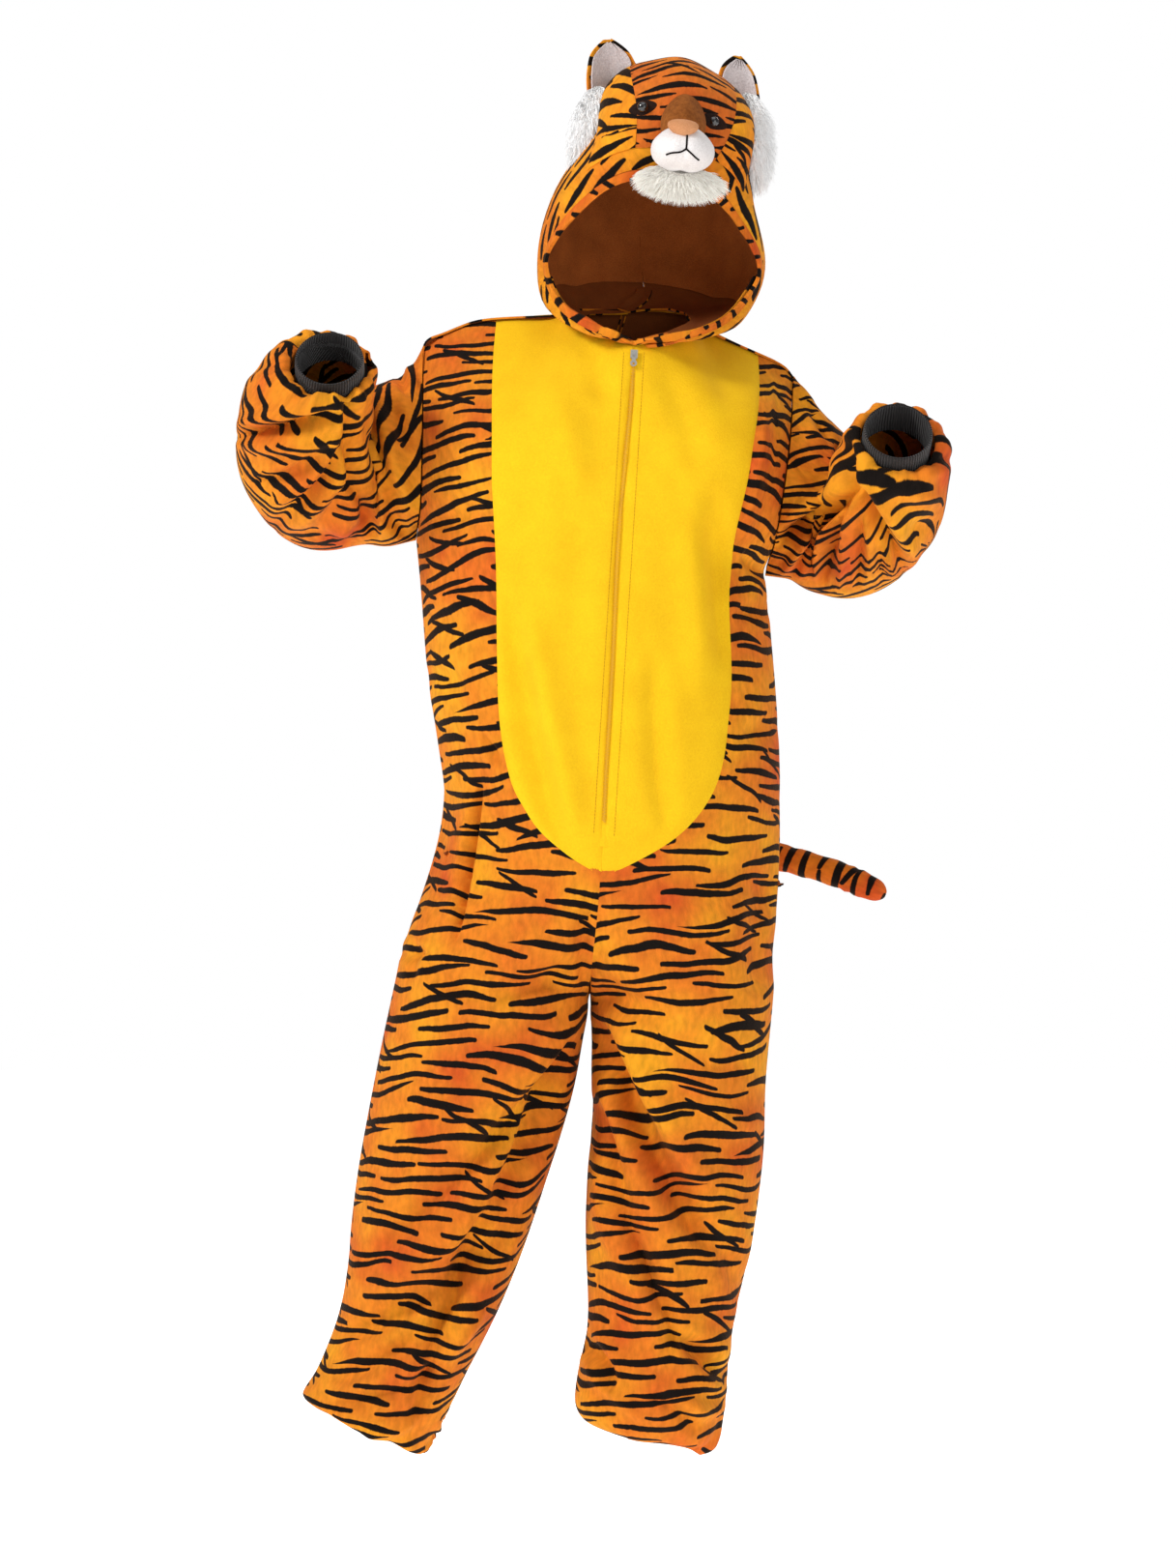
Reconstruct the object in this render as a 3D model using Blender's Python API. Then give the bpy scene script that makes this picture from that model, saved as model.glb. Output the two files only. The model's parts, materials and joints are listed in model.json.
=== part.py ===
"""Tiger costume: an adult jumpsuit with an animal hood, worn in a claws-up pose.

Metres, +Z up, the front faces -Y, and the origin is the middle of the shoulders.
"Right" is the wearer's right, which is the -X side. The cloth pieces are thin walls. Each wall's
outer face is a grid of points worked out from a few cross-sections, and its inner face lies one
thickness inside. Pieces that meet at a seam use the same points there, drawn back by half the gap.
"""

import math

import bmesh
import bpy
import numpy as np
from mathutils import Matrix, Vector

PLUSH = 0.0025
LINING = 0.001
BAND = 0.0042
BAND_END = 0.0018
RIB = 0.002
SEAM_GAP = 0.0007
REST_GAP = 0.00035
LINING_GAP = 0.0009

# The reference view: a level camera far in front. Places measured in it lie in the plane y = 0.
VIEW_CENTRE = (-0.05, -0.559)
VIEW_DISTANCE = 6.0

SIDES = {"right": -1, "left": 1}

MATERIALS = {
    # name: (colour, roughness, metallic)
    "tiger_plush": ((0.72, 0.24, 0.03), 0.95, 0.0),
    "belly_fleece": ((0.86, 0.50, 0.02), 0.95, 0.0),
    "black_rib": ((0.01, 0.01, 0.01), 0.90, 0.0),
    "brown_lining": ((0.30, 0.11, 0.02), 0.70, 0.0),
    "white_plush": ((0.85, 0.84, 0.84), 0.90, 0.0),
    "white_fur": ((0.88, 0.86, 0.83), 0.95, 0.0),
    "brown_pile": ((0.35, 0.13, 0.02), 0.90, 0.0),
    "tan_nose": ((0.62, 0.30, 0.13), 0.80, 0.0),
    "black_eye": ((0.01, 0.01, 0.01), 0.15, 0.0),
    "zip_metal": ((0.55, 0.53, 0.50), 0.35, 1.0),
    "zip_tape": ((0.80, 0.47, 0.03), 0.85, 0.0),
}

# Sections of the trunk from the underarm to the crotch, shared by both sides.
# Columns: height at the centre front, centre front x, centre back x, front y, side y, back y, split.
# The split is 0 where a section is one ring round the body and 1 where it is two rings, the legs.
TRUNK = (
    (-0.250, -0.012, -0.060, -0.138, 0.020, 0.118, 0.00),
    (-0.330, -0.0165, -0.058, -0.146, 0.008, 0.122, 0.00),
    (-0.415, -0.020, -0.050, -0.152, 0.000, 0.118, 0.00),
    (-0.495, -0.025, -0.045, -0.156, -0.004, 0.122, 0.00),
    (-0.565, -0.029, -0.042, -0.157, -0.006, 0.132, 0.00),
    (-0.635, -0.032, -0.040, -0.153, -0.006, 0.140, 0.04),
    (-0.700, -0.037, -0.041, -0.147, -0.006, 0.138, 0.18),
    (-0.757, -0.043, -0.043, -0.140, -0.006, 0.130, 0.50),
    (-0.802, -0.047, -0.047, -0.134, -0.006, 0.123, 0.84),
    (-0.832, -0.0485, -0.0485, -0.130, -0.006, 0.118, 1.00),
)

# Where each trunk section reaches the side seam. Columns: x, z.
TRUNK_SIDE = {
    "right": (
        (-0.264, -0.256), (-0.2575, -0.322), (-0.2505, -0.412), (-0.2395, -0.488), (-0.2285, -0.565),
        (-0.2290, -0.617), (-0.2480, -0.668), (-0.2640, -0.713), (-0.2740, -0.744), (-0.2815, -0.766),
    ),
    "left": (
        (0.1704, -0.300), (0.1755, -0.355), (0.182, -0.430), (0.1862, -0.500), (0.189, -0.570),
        (0.1914, -0.636), (0.1884, -0.700), (0.1810, -0.752), (0.1800, -0.790), (0.1805, -0.820),
    ),
}

# Sections of the legs below the crotch. Columns: inseam x, inseam z, side x, side z, front y, back y.
LEG = {
    "right": (
        (-0.0620, -0.910, -0.2990, -0.845, -0.128, 0.112),
        (-0.0830, -0.988, -0.3140, -0.918, -0.124, 0.106),
        (-0.1145, -1.092, -0.3340, -1.026, -0.118, 0.098),
        (-0.1410, -1.166, -0.3440, -1.104, -0.112, 0.090),
        (-0.1707, -1.233, -0.3495, -1.172, -0.106, 0.082),
        (-0.1980, -1.285, -0.3640, -1.228, -0.102, 0.076),
        (-0.2267, -1.343, -0.3870, -1.283, -0.100, 0.070),
        (-0.2490, -1.380, -0.4035, -1.310, -0.094, 0.062),
        (-0.2570, -1.384, -0.3960, -1.322, -0.086, 0.052),
    ),
    "left": (
        (-0.0447, -0.912, 0.1712, -0.926, -0.126, 0.114),
        (-0.0470, -0.996, 0.1685, -1.012, -0.122, 0.110),
        (-0.0540, -1.087, 0.1580, -1.101, -0.116, 0.102),
        (-0.0530, -1.153, 0.1455, -1.167, -0.110, 0.096),
        (-0.0513, -1.226, 0.1290, -1.238, -0.104, 0.088),
        (-0.0630, -1.284, 0.1240, -1.296, -0.108, 0.088),
        (-0.0670, -1.325, 0.1190, -1.335, -0.108, 0.086),
        (-0.0540, -1.345, 0.1090, -1.374, -0.096, 0.074),
        (-0.0290, -1.354, 0.0920, -1.386, -0.078, 0.056),
    ),
}
ROUNDNESS = 2.2

# The top edge: neckline from the centre front to the neck point, then the shoulder seam. Columns: x, y, z.
NECK_FRONT = {
    "right": ((0.007, -0.097, -0.024), (-0.006, -0.091, -0.020), (-0.040, -0.072, -0.007), (-0.070, -0.036, 0.012)),
    "left": ((0.007, -0.097, -0.024), (0.020, -0.091, -0.022), (0.052, -0.074, -0.014), (0.078, -0.040, 0.000)),
}
SHOULDER = {
    "right": ((-0.086, 0.010, 0.026), (-0.164, 0.012, 0.022), (-0.204, 0.014, 0.014), (-0.236, 0.016, 0.001),
              (-0.2556, 0.018, -0.013)),
    "left": ((0.088, 0.006, 0.012), (0.162, 0.012, -0.021), (0.182, 0.014, -0.030), (0.197, 0.016, -0.039),
             (0.2064, 0.018, -0.050)),
}
NECK_BACK = {
    "right": ((-0.078, 0.042, 0.034), (-0.056, 0.066, 0.037), (-0.030, 0.080, 0.037), (-0.004, 0.084, 0.036)),
    "left": ((0.080, 0.040, 0.024), (0.058, 0.066, 0.032), (0.030, 0.080, 0.035), (-0.004, 0.084, 0.036)),
}

# Sections of the chest and the upper back between the shoulder and the underarm, from the centre to the
# armhole edge. Columns: across from the centre 0 to the armhole 1, x, y, z.
CHEST = {
    ("right", "front"): (
        ((0.0, 0.001, -0.122, -0.110), (0.3, -0.085, -0.124, -0.108), (0.6, -0.171, -0.104, -0.110),
         (0.8, -0.220, -0.080, -0.116), (1.0, -0.2545, -0.046, -0.126)),
        ((0.0, -0.007, -0.134, -0.190), (0.3, -0.092, -0.136, -0.190), (0.6, -0.184, -0.112, -0.196),
         (0.8, -0.232, -0.078, -0.204), (1.0, -0.2570, -0.040, -0.212)),
    ),
    ("left", "front"): (
        ((0.0, 0.001, -0.122, -0.110), (0.3, 0.085, -0.118, -0.114), (0.6, 0.155, -0.096, -0.122),
         (0.8, 0.180, -0.074, -0.132), (1.0, 0.1990, -0.046, -0.142)),
        ((0.0, -0.007, -0.134, -0.190), (0.3, 0.078, -0.130, -0.198), (0.6, 0.142, -0.104, -0.218),
         (0.8, 0.168, -0.074, -0.236), (1.0, 0.1830, -0.040, -0.252)),
    ),
    ("right", "back"): (
        ((0.0, -0.040, 0.120, -0.090), (0.3, -0.105, 0.128, -0.098), (0.6, -0.170, 0.122, -0.108),
         (0.8, -0.218, 0.104, -0.116), (1.0, -0.2520, 0.080, -0.126)),
        ((0.0, -0.054, 0.122, -0.180), (0.3, -0.122, 0.128, -0.188), (0.6, -0.186, 0.118, -0.198),
         (0.8, -0.230, 0.096, -0.206), (1.0, -0.2570, 0.076, -0.214)),
    ),
    ("left", "back"): (
        ((0.0, -0.040, 0.120, -0.090), (0.3, 0.030, 0.132, -0.102), (0.6, 0.100, 0.126, -0.120),
         (0.8, 0.158, 0.108, -0.132), (1.0, 0.2000, 0.080, -0.144)),
        ((0.0, -0.054, 0.122, -0.180), (0.3, 0.020, 0.132, -0.200), (0.6, 0.090, 0.122, -0.226),
         (0.8, 0.146, 0.100, -0.242), (1.0, 0.1820, 0.076, -0.254)),
    ),
}

# The yellow inset's side edges as they show from the front. Columns: x, z.
BELLY_EDGE = {
    "right": (
        (-0.1656, 0.0228), (-0.1698, -0.060), (-0.1704, -0.180), (-0.1649, -0.2844), (-0.1642, -0.380),
        (-0.1626, -0.4632), (-0.1572, -0.510), (-0.1494, -0.5472), (-0.1408, -0.5712), (-0.1204, -0.606),
        (-0.0972, -0.6318), (-0.0652, -0.6552), (-0.042, -0.6690), (-0.0315, -0.6740),
    ),
    "left": (
        (0.1644, -0.0192), (0.1632, -0.0888), (0.150, -0.180), (0.132, -0.258), (0.1254, -0.3348),
        (0.1303, -0.4224), (0.1236, -0.504), (0.1182, -0.5388), (0.1032, -0.5766), (0.0828, -0.606),
        (0.057, -0.6288), (0.0276, -0.6468), (-0.0072, -0.6648), (-0.0315, -0.6740),
    ),
}
CORNER_COLUMN = 0.3
NECK_COLUMN = 0.2

# Rows of the trunk. The first are places between the sections, the rest heights at the centre front.
ARMHOLE_ROWS = (0.0, 0.4, 0.8, 1.2, 1.6, 2.0, 2.35, 2.7, 3.0)
TRUNK_HEIGHTS = (-0.305, -0.365, -0.425, -0.475, -0.515, -0.545, -0.570, -0.592, -0.612, -0.630, -0.645,
                 -0.656, -0.6645)
BELLY_TIP = -0.6665
SEAT_HEIGHTS = (-0.698, -0.735, -0.770, -0.798, -0.818)
LEG_STEP = 0.5
CROTCH = 12
UNDERARM = 3

# The zip. It runs down the centre front from the neckline.
ZIP_END = -0.618
ZIP_HALF_OPENING = 0.003
CHAIN_HALF = 0.0022
TAPE_HALF = 0.012
SLIDER_TOP = 0.006
SLIDER_LENGTH = 0.011
TAPE_THICK = 0.0008
CHAIN_SINK = 0.0004
CHAIN_THICK = 0.0020
PIVOT_OUT = 0.0030
BAIL_CLEAR = 0.0038

# Sleeve sections from the armhole to the turned-in rim. Columns: centre x, y, z, then the half axis
# towards the top and the half axis towards the front, each x, y, z.
SLEEVE = {
    "right": (
        (-0.294, 0.022, -0.158, 0.006, 0.002, 0.104, -0.004, -0.078, 0.010),
        (-0.3465, 0.030, -0.168, -0.030, 0.028, 0.086, 0.0235, -0.066, 0.034),
        (-0.381, 0.024, -0.180, -0.0435, 0.042, 0.063, 0.053, -0.053, 0.060),
        (-0.398, -0.0425, -0.157, -0.0440, 0.0424, 0.0625, 0.0700, 0.0025, 0.0465),
        (-0.396, -0.085, -0.122, -0.0420, 0.0405, 0.0590, 0.0725, 0.020, 0.0355),
        (-0.390, -0.122, -0.086, -0.0385, 0.0371, 0.0541, 0.0660, 0.0290, 0.0270),
        (-0.373, -0.153, -0.060, -0.0309, 0.0298, 0.0434, 0.0522, 0.0229, 0.0214),
        (-0.3650, -0.151, -0.0590, -0.0240, 0.0232, 0.0338, 0.0406, 0.0178, 0.0167),
        (-0.3632, -0.138, -0.0675, -0.0218, 0.0210, 0.0306, 0.0369, 0.0162, 0.0151),
    ),
    "left": (
        (0.220, 0.022, -0.200, 0.020, 0.004, 0.104, 0.006, -0.076, 0.004),
        (0.258, 0.0325, -0.2290, 0.035, 0.022, 0.080, -0.002, -0.0725, 0.0385),
        (0.290, 0.030, -0.240, 0.0554, 0.0388, 0.0513, -0.0315, -0.065, 0.0685),
        (0.313, -0.0325, -0.217, 0.0500, 0.0350, 0.0463, -0.053, -0.0125, 0.054),
        (0.318, -0.085, -0.186, 0.0480, 0.0336, 0.0444, -0.056, 0.015, 0.044),
        (0.324, -0.125, -0.164, 0.0430, 0.0301, 0.0398, -0.0496, 0.0200, 0.0385),
        (0.3245, -0.152, -0.147, 0.0362, 0.0254, 0.0335, -0.0418, 0.0168, 0.0324),
        (0.3230, -0.150, -0.146, 0.0297, 0.0208, 0.0275, -0.0343, 0.0138, 0.0266),
        (0.3222, -0.138, -0.1535, 0.0280, 0.0197, 0.0259, -0.0323, 0.0130, 0.0251),
    ),
}
SLEEVE_RINGS = 16
CUFF = {
    # Columns: start x, y, z, end x, y, z.
    "right": (-0.3630, -0.126, -0.0758, -0.3622, -0.170, -0.0458, 0.0401),
    "left": (0.3215, -0.126, -0.1613, 0.3245, -0.170, -0.1330, 0.0422),
}

# Half hoops of the hood, upright and from the face opening to the seam behind. Each has seven places from
# the crown down to just above the neckline: crown, brow, temple, cheek, jaw, collar, fold.
# Columns of a place: half width x, y, z.
HOOD = (
    ((0.000, -0.128, 0.176), (0.056, -0.122, 0.164), (0.104, -0.106, 0.124), (0.130, -0.085, 0.088),
     (0.130, -0.066, 0.062), (0.102, -0.084, 0.022), (0.050, -0.100, -0.002)),
    ((0.000, -0.140, 0.216), (0.060, -0.130, 0.206), (0.104, -0.100, 0.172), (0.130, -0.066, 0.130),
     (0.140, -0.036, 0.082), (0.121, -0.058, 0.020), (0.068, -0.102, -0.014)),
    ((0.000, -0.118, 0.284), (0.064, -0.100, 0.264), (0.100, -0.060, 0.215), (0.124, -0.026, 0.160),
     (0.140, -0.004, 0.092), (0.126, -0.016, 0.034), (0.106, -0.040, 0.014)),
    ((0.000, -0.062, 0.326), (0.067, -0.046, 0.304), (0.098, -0.014, 0.240), (0.116, 0.016, 0.170),
     (0.130, 0.032, 0.104), (0.116, 0.036, 0.058), (0.104, 0.040, 0.044)),
    ((0.000, 0.005, 0.336), (0.062, 0.018, 0.314), (0.092, 0.036, 0.248), (0.104, 0.056, 0.178),
     (0.108, 0.070, 0.110), (0.090, 0.068, 0.062), (0.082, 0.060, 0.044)),
    ((0.000, 0.070, 0.310), (0.046, 0.078, 0.292), (0.068, 0.090, 0.236), (0.076, 0.102, 0.176),
     (0.074, 0.106, 0.116), (0.060, 0.096, 0.072), (0.056, 0.086, 0.052)),
    ((0.000, 0.110, 0.272), (0.000, 0.120, 0.250), (0.000, 0.130, 0.216), (0.000, 0.134, 0.170),
     (0.000, 0.128, 0.120), (0.000, 0.114, 0.078), (0.000, 0.098, 0.054)),
)
HOOP_NECK = (0.0, 1.6, 3.2, 4.8, 6.0, 7.04, 8.0)
HOOD_ROWS = (1.5, 2.0, 2.5, 3.0, 3.5, 4.0, 4.5, 5.0, 5.5, 6.0, 6.6, 7.3, 8.0)
HOOD_COLUMNS = (0.0, 0.4, 0.8, 1.3, 1.8, 2.4, 3.0, 3.7, 4.4, 5.2, 6.1, 7.0)
HOOD_BASE = 7.0
BAND_WIDTH = 0.014
# How the head leans: its sideways shift by height, and its roll towards the left. Columns: z, shift, roll.
HEAD_LEAN = ((-0.03, 0.010, 0.06), (0.00, 0.017, 0.07), (0.05, 0.022, 0.08), (0.10, 0.028, 0.09),
             (0.15, 0.028, 0.11), (0.18, 0.035, 0.13), (0.24, 0.052, 0.16), (0.30, 0.055, 0.16),
             (0.37, 0.057, 0.16))
HEAD_YAW = 0.10

# The padded face lies on the hood from row to row and out to this many columns from the crown.
FACE_FIRST_ROW = 1
FACE_LAST_ROW = 8
FACE_SEAM_COLUMN = 2
FACE_EDGE_COLUMN = 4
FACE_BULGE = 0.022
FACE_SEAT = 0.0005
FORM_DEPTH = 0.05

# Sewn-on features. Columns: centre, radii, turn about x, y and z, material, segments round, rings.
FEATURES = {
    "muzzle": ((0.0645, -0.168, 0.207), (0.038, 0.040, 0.028), (0.0, 0.10, 0.0), "white_plush", 16, 9),
    "nose_bridge": ((0.0655, -0.158, 0.242), (0.026, 0.044, 0.022), (0.85, 0.08, 0.0), "brown_pile", 16, 8),
    "nose": ((0.0640, -0.199, 0.229), (0.0185, 0.014, 0.011), (0.3, 0.10, 0.0), "tan_nose", 14, 8),
    "chin_fur": ((0.0615, -0.148, 0.172), (0.052, 0.020, 0.020), (0.0, 0.12, 0.0), "white_fur", 16, 8),
    "eye_right": ((0.0164, -0.1478, 0.2605), (0.0065, 0.006, 0.0065), (0.0, 0.0, 0.0), "black_eye", 12, 8),
    "eye_left": ((0.1024, -0.140, 0.2439), (0.0065, 0.006, 0.0065), (0.0, 0.0, 0.0), "black_eye", 12, 8),
    "ruff_right": ((-0.046, -0.050, 0.245), (0.026, 0.022, 0.060), (0.0, 0.20, 0.0), "white_fur", 14, 8),
    "ruff_left": ((0.151, -0.050, 0.236), (0.026, 0.022, 0.060), (0.0, -0.10, 0.0), "white_fur", 14, 8),
}
# Ears. Columns: base x, y, z, lean about y, turn about z, width, height.
EARS = {
    "right": (-0.017, -0.030, 0.300, -0.10, 0.25, 0.068, 0.062),
    "left": (0.135, -0.030, 0.278, 0.10, 0.55, 0.066, 0.064),
}
EAR_CUP = 0.016
EAR_LINING = 0.0015

# The tail's path. Columns: x, y, z, radius.
TAIL = (
    (-0.030, 0.1502, -0.585, 0.018),
    (0.012, 0.178, -0.606, 0.018),
    (0.060, 0.188, -0.622, 0.018),
    (0.120, 0.176, -0.636, 0.0175),
    (0.190, 0.142, -0.651, 0.0170),
    (0.260, 0.115, -0.671, 0.0165),
    (0.306, 0.104, -0.690, 0.0160),
    (0.320, 0.101, -0.696, 0.0110),
    (0.325, 0.100, -0.698, 0.0040),
)

# The largest folds, as ridges and grooves. Columns: piece set, start x, z, end x, z, half width, height.
FOLDS = (
    ("front_right", -0.052, -0.850, -0.170, -1.020, 0.028, 0.010),
    ("front_right", -0.170, -1.020, -0.345, -1.175, 0.026, 0.011),
    ("front_right", -0.075, -0.880, -0.205, -1.150, 0.022, -0.009),
    ("front_right", -0.205, -1.150, -0.350, -1.255, 0.020, -0.008),
    ("front_right", -0.110, -1.020, -0.235, -1.280, 0.024, 0.009),
    ("front_right", -0.190, -0.560, -0.212, -0.745, 0.022, -0.006),
    ("front_left", -0.040, -0.855, -0.020, -1.080, 0.022, 0.009),
    ("front_left", -0.020, -1.080, 0.050, -1.240, 0.024, 0.009),
    ("front_left", -0.044, -0.812, 0.005, -0.945, 0.018, -0.008),
    ("front_left", 0.005, -0.945, 0.096, -1.114, 0.022, -0.008),
    ("front_left", -0.052, -1.233, 0.066, -1.330, 0.015, 0.008),
    ("front_left", 0.121, -1.250, 0.060, -1.320, 0.015, 0.008),
)


def spline(keys, place):
    """A point on the smooth curve through the keys. Key number n lies at place n."""
    keys = np.asarray(keys, float)
    last = len(keys) - 1
    place = min(max(place, 0.0), last)
    start = min(int(place), last - 1)
    before = keys[start - 1] if start > 0 else 2 * keys[0] - keys[1]
    after = keys[start + 2] if start + 2 <= last else 2 * keys[last] - keys[last - 1]
    return smooth_step(before, keys[start], keys[start + 1], after, place - start)


def smooth_step(before, first, second, after, t):
    """The Catmull-Rom curve from first to second."""
    return 0.5 * (
        2 * first
        + (second - before) * t
        + (2 * before - 5 * first + 4 * second - after) * t ** 2
        + (3 * first - before - 3 * second + after) * t ** 3
    )


def spline_by(table, value):
    """A smooth curve through the table's rows, whose first column is the value that it is looked up by."""
    table = np.asarray(table, float)
    place = np.interp(value, table[:, 0], np.arange(len(table)))
    return spline(table[:, 1:], place)


def along(points, place):
    """A point on the straight-sided line through the points. Point number n lies at place n."""
    points = np.asarray(points, float)
    steps = np.arange(len(points))
    return np.array([np.interp(place, steps, points[:, axis]) for axis in range(3)])


def solve(function, low, high):
    """Where a function that changes sign between low and high is zero."""
    low_sign = function(low) > 0
    for _ in range(40):
        middle = (low + high) / 2
        if (function(middle) > 0) == low_sign:
            low = middle
        else:
            high = middle
    return (low + high) / 2


def at_depth(x, z, y):
    """Moves a place seen in the plane y = 0 along its line of sight to depth y. Returns x, z."""
    share = 1 + y / VIEW_DISTANCE
    return (
        VIEW_CENTRE[0] + (x - VIEW_CENTRE[0]) * share,
        VIEW_CENTRE[1] + (z - VIEW_CENTRE[1]) * share,
    )


def unit(vectors):
    length = np.linalg.norm(vectors, axis=-1, keepdims=True)
    return vectors / np.maximum(length, 1e-12)


# The trunk and the legs

def neckline(side):
    """The neckline from the centre front to the centre back, nine points."""
    return np.array(NECK_FRONT[side] + SHOULDER[side][:1] + NECK_BACK[side])


def top_edge(side, face, u):
    """The row along the neckline and the shoulder seam, straight between its points."""
    if face == "front":
        points = NECK_FRONT[side] + SHOULDER[side]
        columns = (0.0, 0.05, 0.10, 0.15, NECK_COLUMN, *np.linspace(CORNER_COLUMN, 0.5, 4))
    else:
        points = SHOULDER[side][::-1] + NECK_BACK[side]
        columns = (0.5, 0.5625, 0.625, 0.6875, 0.75, 0.8125, 0.875, 0.9375, 1.0)
    return along(points, np.interp(u, columns, range(9)))


def chest_section(side, face, number, u):
    across = 2 * u if face == "front" else 2 * (1 - u)
    return spline_by(CHEST[side, face][number], across)


def ring_section(row, u):
    """A point of a ring. Columns of row: middle front x, middle back x, middle z, side x, side z, front y,
    side y, back y, split. u runs from the front middle round the side to the back middle."""
    front_x, back_x, middle_z, side_x, side_z, front_y, side_y, back_y, split = row
    centre = split / (1 + split)
    limit = math.acos(-(split ** (ROUNDNESS / 2)))
    angle = limit * (1 - 2 * u)
    power = 2 / ROUNDNESS
    out = centre + math.copysign(abs(math.cos(angle)) ** power, math.cos(angle)) / (1 + split)
    depth = math.copysign(abs(math.sin(angle)) ** power, math.sin(angle))
    y = side_y + (front_y - side_y) * depth if depth > 0 else side_y - (back_y - side_y) * depth
    middle_x = front_x + (back_x - front_x) * (y - front_y) / (back_y - front_y)
    return np.array((middle_x + out * (side_x - middle_x), y, middle_z + out * (side_z - middle_z)))


def ring_rows(side):
    rows = []
    for trunk, (side_x, side_z) in zip(TRUNK, TRUNK_SIDE[side]):
        z, front_x, back_x, front_y, side_y, back_y, split = trunk
        rows.append((front_x, back_x, z, side_x, side_z, front_y, side_y, back_y, split))
    for inner_x, inner_z, side_x, side_z, front_y, back_y in LEG[side]:
        rows.append((inner_x, inner_x, inner_z, side_x, side_z, front_y, (front_y + back_y) / 2, back_y, 1.0))
    return rows


RING_ROWS = {side: ring_rows(side) for side in SIDES}
LAST_SECTION = 2 + len(TRUNK) + len(LEG["right"])


def section(side, face, number, u):
    if number <= 0:
        return top_edge(side, face, u)
    if number < UNDERARM:
        return chest_section(side, face, number - 1, u)
    return ring_section(RING_ROWS[side][min(number, LAST_SECTION) - UNDERARM], u)


def body_point(side, face, u, v):
    """The body's outer face. u runs from the centre front round the side to the centre back, and v from
    the top edge to the hem, by section number."""
    start = min(int(v), LAST_SECTION - 1)
    before, first, second, after = (section(side, face, start + k, u) for k in (-1, 0, 1, 2))
    near_side = max(0.0, 1 - abs(u - 0.5) / 0.2)
    near_middle = max(0.0, 1 - min(u, 1 - u) / 0.12)
    if start == 0:
        before = 2 * first - second
    if start == UNDERARM:
        before = before + near_side * (2 * first - second - before)
    if start == CROTCH:
        before = before + near_middle * (2 * first - second - before)
    if start == CROTCH - 1:
        after = after + near_middle * (2 * second - first - after)
    if start == LAST_SECTION - 1:
        after = 2 * second - first
    return smooth_step(before, first, second, after, v - start)


def row_at(height):
    """The v at which the centre front has this height."""
    return solve(lambda v: body_point("right", "front", 0.0, v)[2] - height, 0.5, CROTCH)


def belly_column(side, v):
    """The u at which the yellow inset's side edge crosses row v."""
    if v == 0:
        return CORNER_COLUMN
    edge = np.array(BELLY_EDGE[side])

    def beyond(u):
        x, y, z = body_point(side, "front", u, v)
        seen_x, seen_z = at_depth(edge[:, 0], edge[:, 1], y)
        return (x - np.interp(-z, -seen_z, seen_x)) * SIDES[side]

    return solve(beyond, 0.0, 0.5)


TRUNK_ROWS = list(ARMHOLE_ROWS) + [row_at(z) for z in TRUNK_HEIGHTS]
TIP_ROW = row_at(BELLY_TIP)
BODY_ROWS = TRUNK_ROWS + [TIP_ROW] + [row_at(z) for z in SEAT_HEIGHTS]
BODY_ROWS += list(np.arange(CROTCH, LAST_SECTION + 0.01, LEG_STEP))
BELLY_COLUMNS = (0.0, 1 / 6, 1 / 3, 1 / 2, 2 / 3, 5 / 6, 1.0)
FRONT_COLUMNS = tuple(np.linspace(0, 1, 10))
BACK_COLUMNS = tuple(np.linspace(0.5, 1, 9))


def belly_u(side, v, share, edge):
    """The u of a belly column. On the top row the columns follow the neckline's points."""
    if v == 0:
        return float(np.interp(share, BELLY_COLUMNS, (0.0, 0.05, 0.10, 0.15, 0.20, 0.25, 0.30)))
    return share * edge


def belly_grid(side):
    rows = []
    for v in TRUNK_ROWS:
        edge = belly_column(side, v)
        rows.append([body_point(side, "front", belly_u(side, v, share, edge), v) for share in BELLY_COLUMNS])
    return np.array(rows)


def front_grid(side):
    rows = []
    for v in BODY_ROWS:
        edge = belly_column(side, v) if v < TIP_ROW else 0.0
        rows.append([body_point(side, "front", edge + (0.5 - edge) * share, v) for share in FRONT_COLUMNS])
    return np.array(rows)


def back_grid(side):
    return np.array([[body_point(side, "back", u, v) for u in BACK_COLUMNS] for v in BODY_ROWS])


# The sleeves

def sleeve_grid(side, front, back):
    """Rings from the armhole's own points to the turned-in rim. Column 0 is at the top, then the front."""
    count = len(ARMHOLE_ROWS)
    armhole = np.concatenate([front[:count, -1], back[count - 2:0:-1, 0]])
    angles = [2 * math.pi * k / len(armhole) for k in range(len(armhole))]
    sections = [armhole]
    for row in SLEEVE[side]:
        centre, top, ahead = np.array(row[:3]), np.array(row[3:6]), np.array(row[6:])
        sections.append(np.array([centre + top * math.cos(a) + ahead * math.sin(a) for a in angles]))
    places = np.linspace(0, len(sections) - 1, SLEEVE_RINGS)
    return np.array([spline(sections, place) for place in places])


def cuff_grid(side):
    row = np.array(CUFF[side])
    start, end, mouth = row[:3], row[3:6], row[6]
    axis = unit(end - start)
    top = unit(np.array(SLEEVE[side][-1][3:6]))
    top = unit(top - axis * (top @ axis))
    ahead = np.cross(axis, top)
    rings = []
    for share in (0.0, 0.4, 0.8, 1.0):
        radius = mouth * (1.0 if share < 0.9 else 0.97)
        centre = start + (end - start) * share
        angles = [2 * math.pi * k / 16 for k in range(16)]
        rings.append([centre + radius * (top * math.cos(a) + ahead * math.sin(a)) for a in angles])
    return np.array(rings)


# The hood

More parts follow.
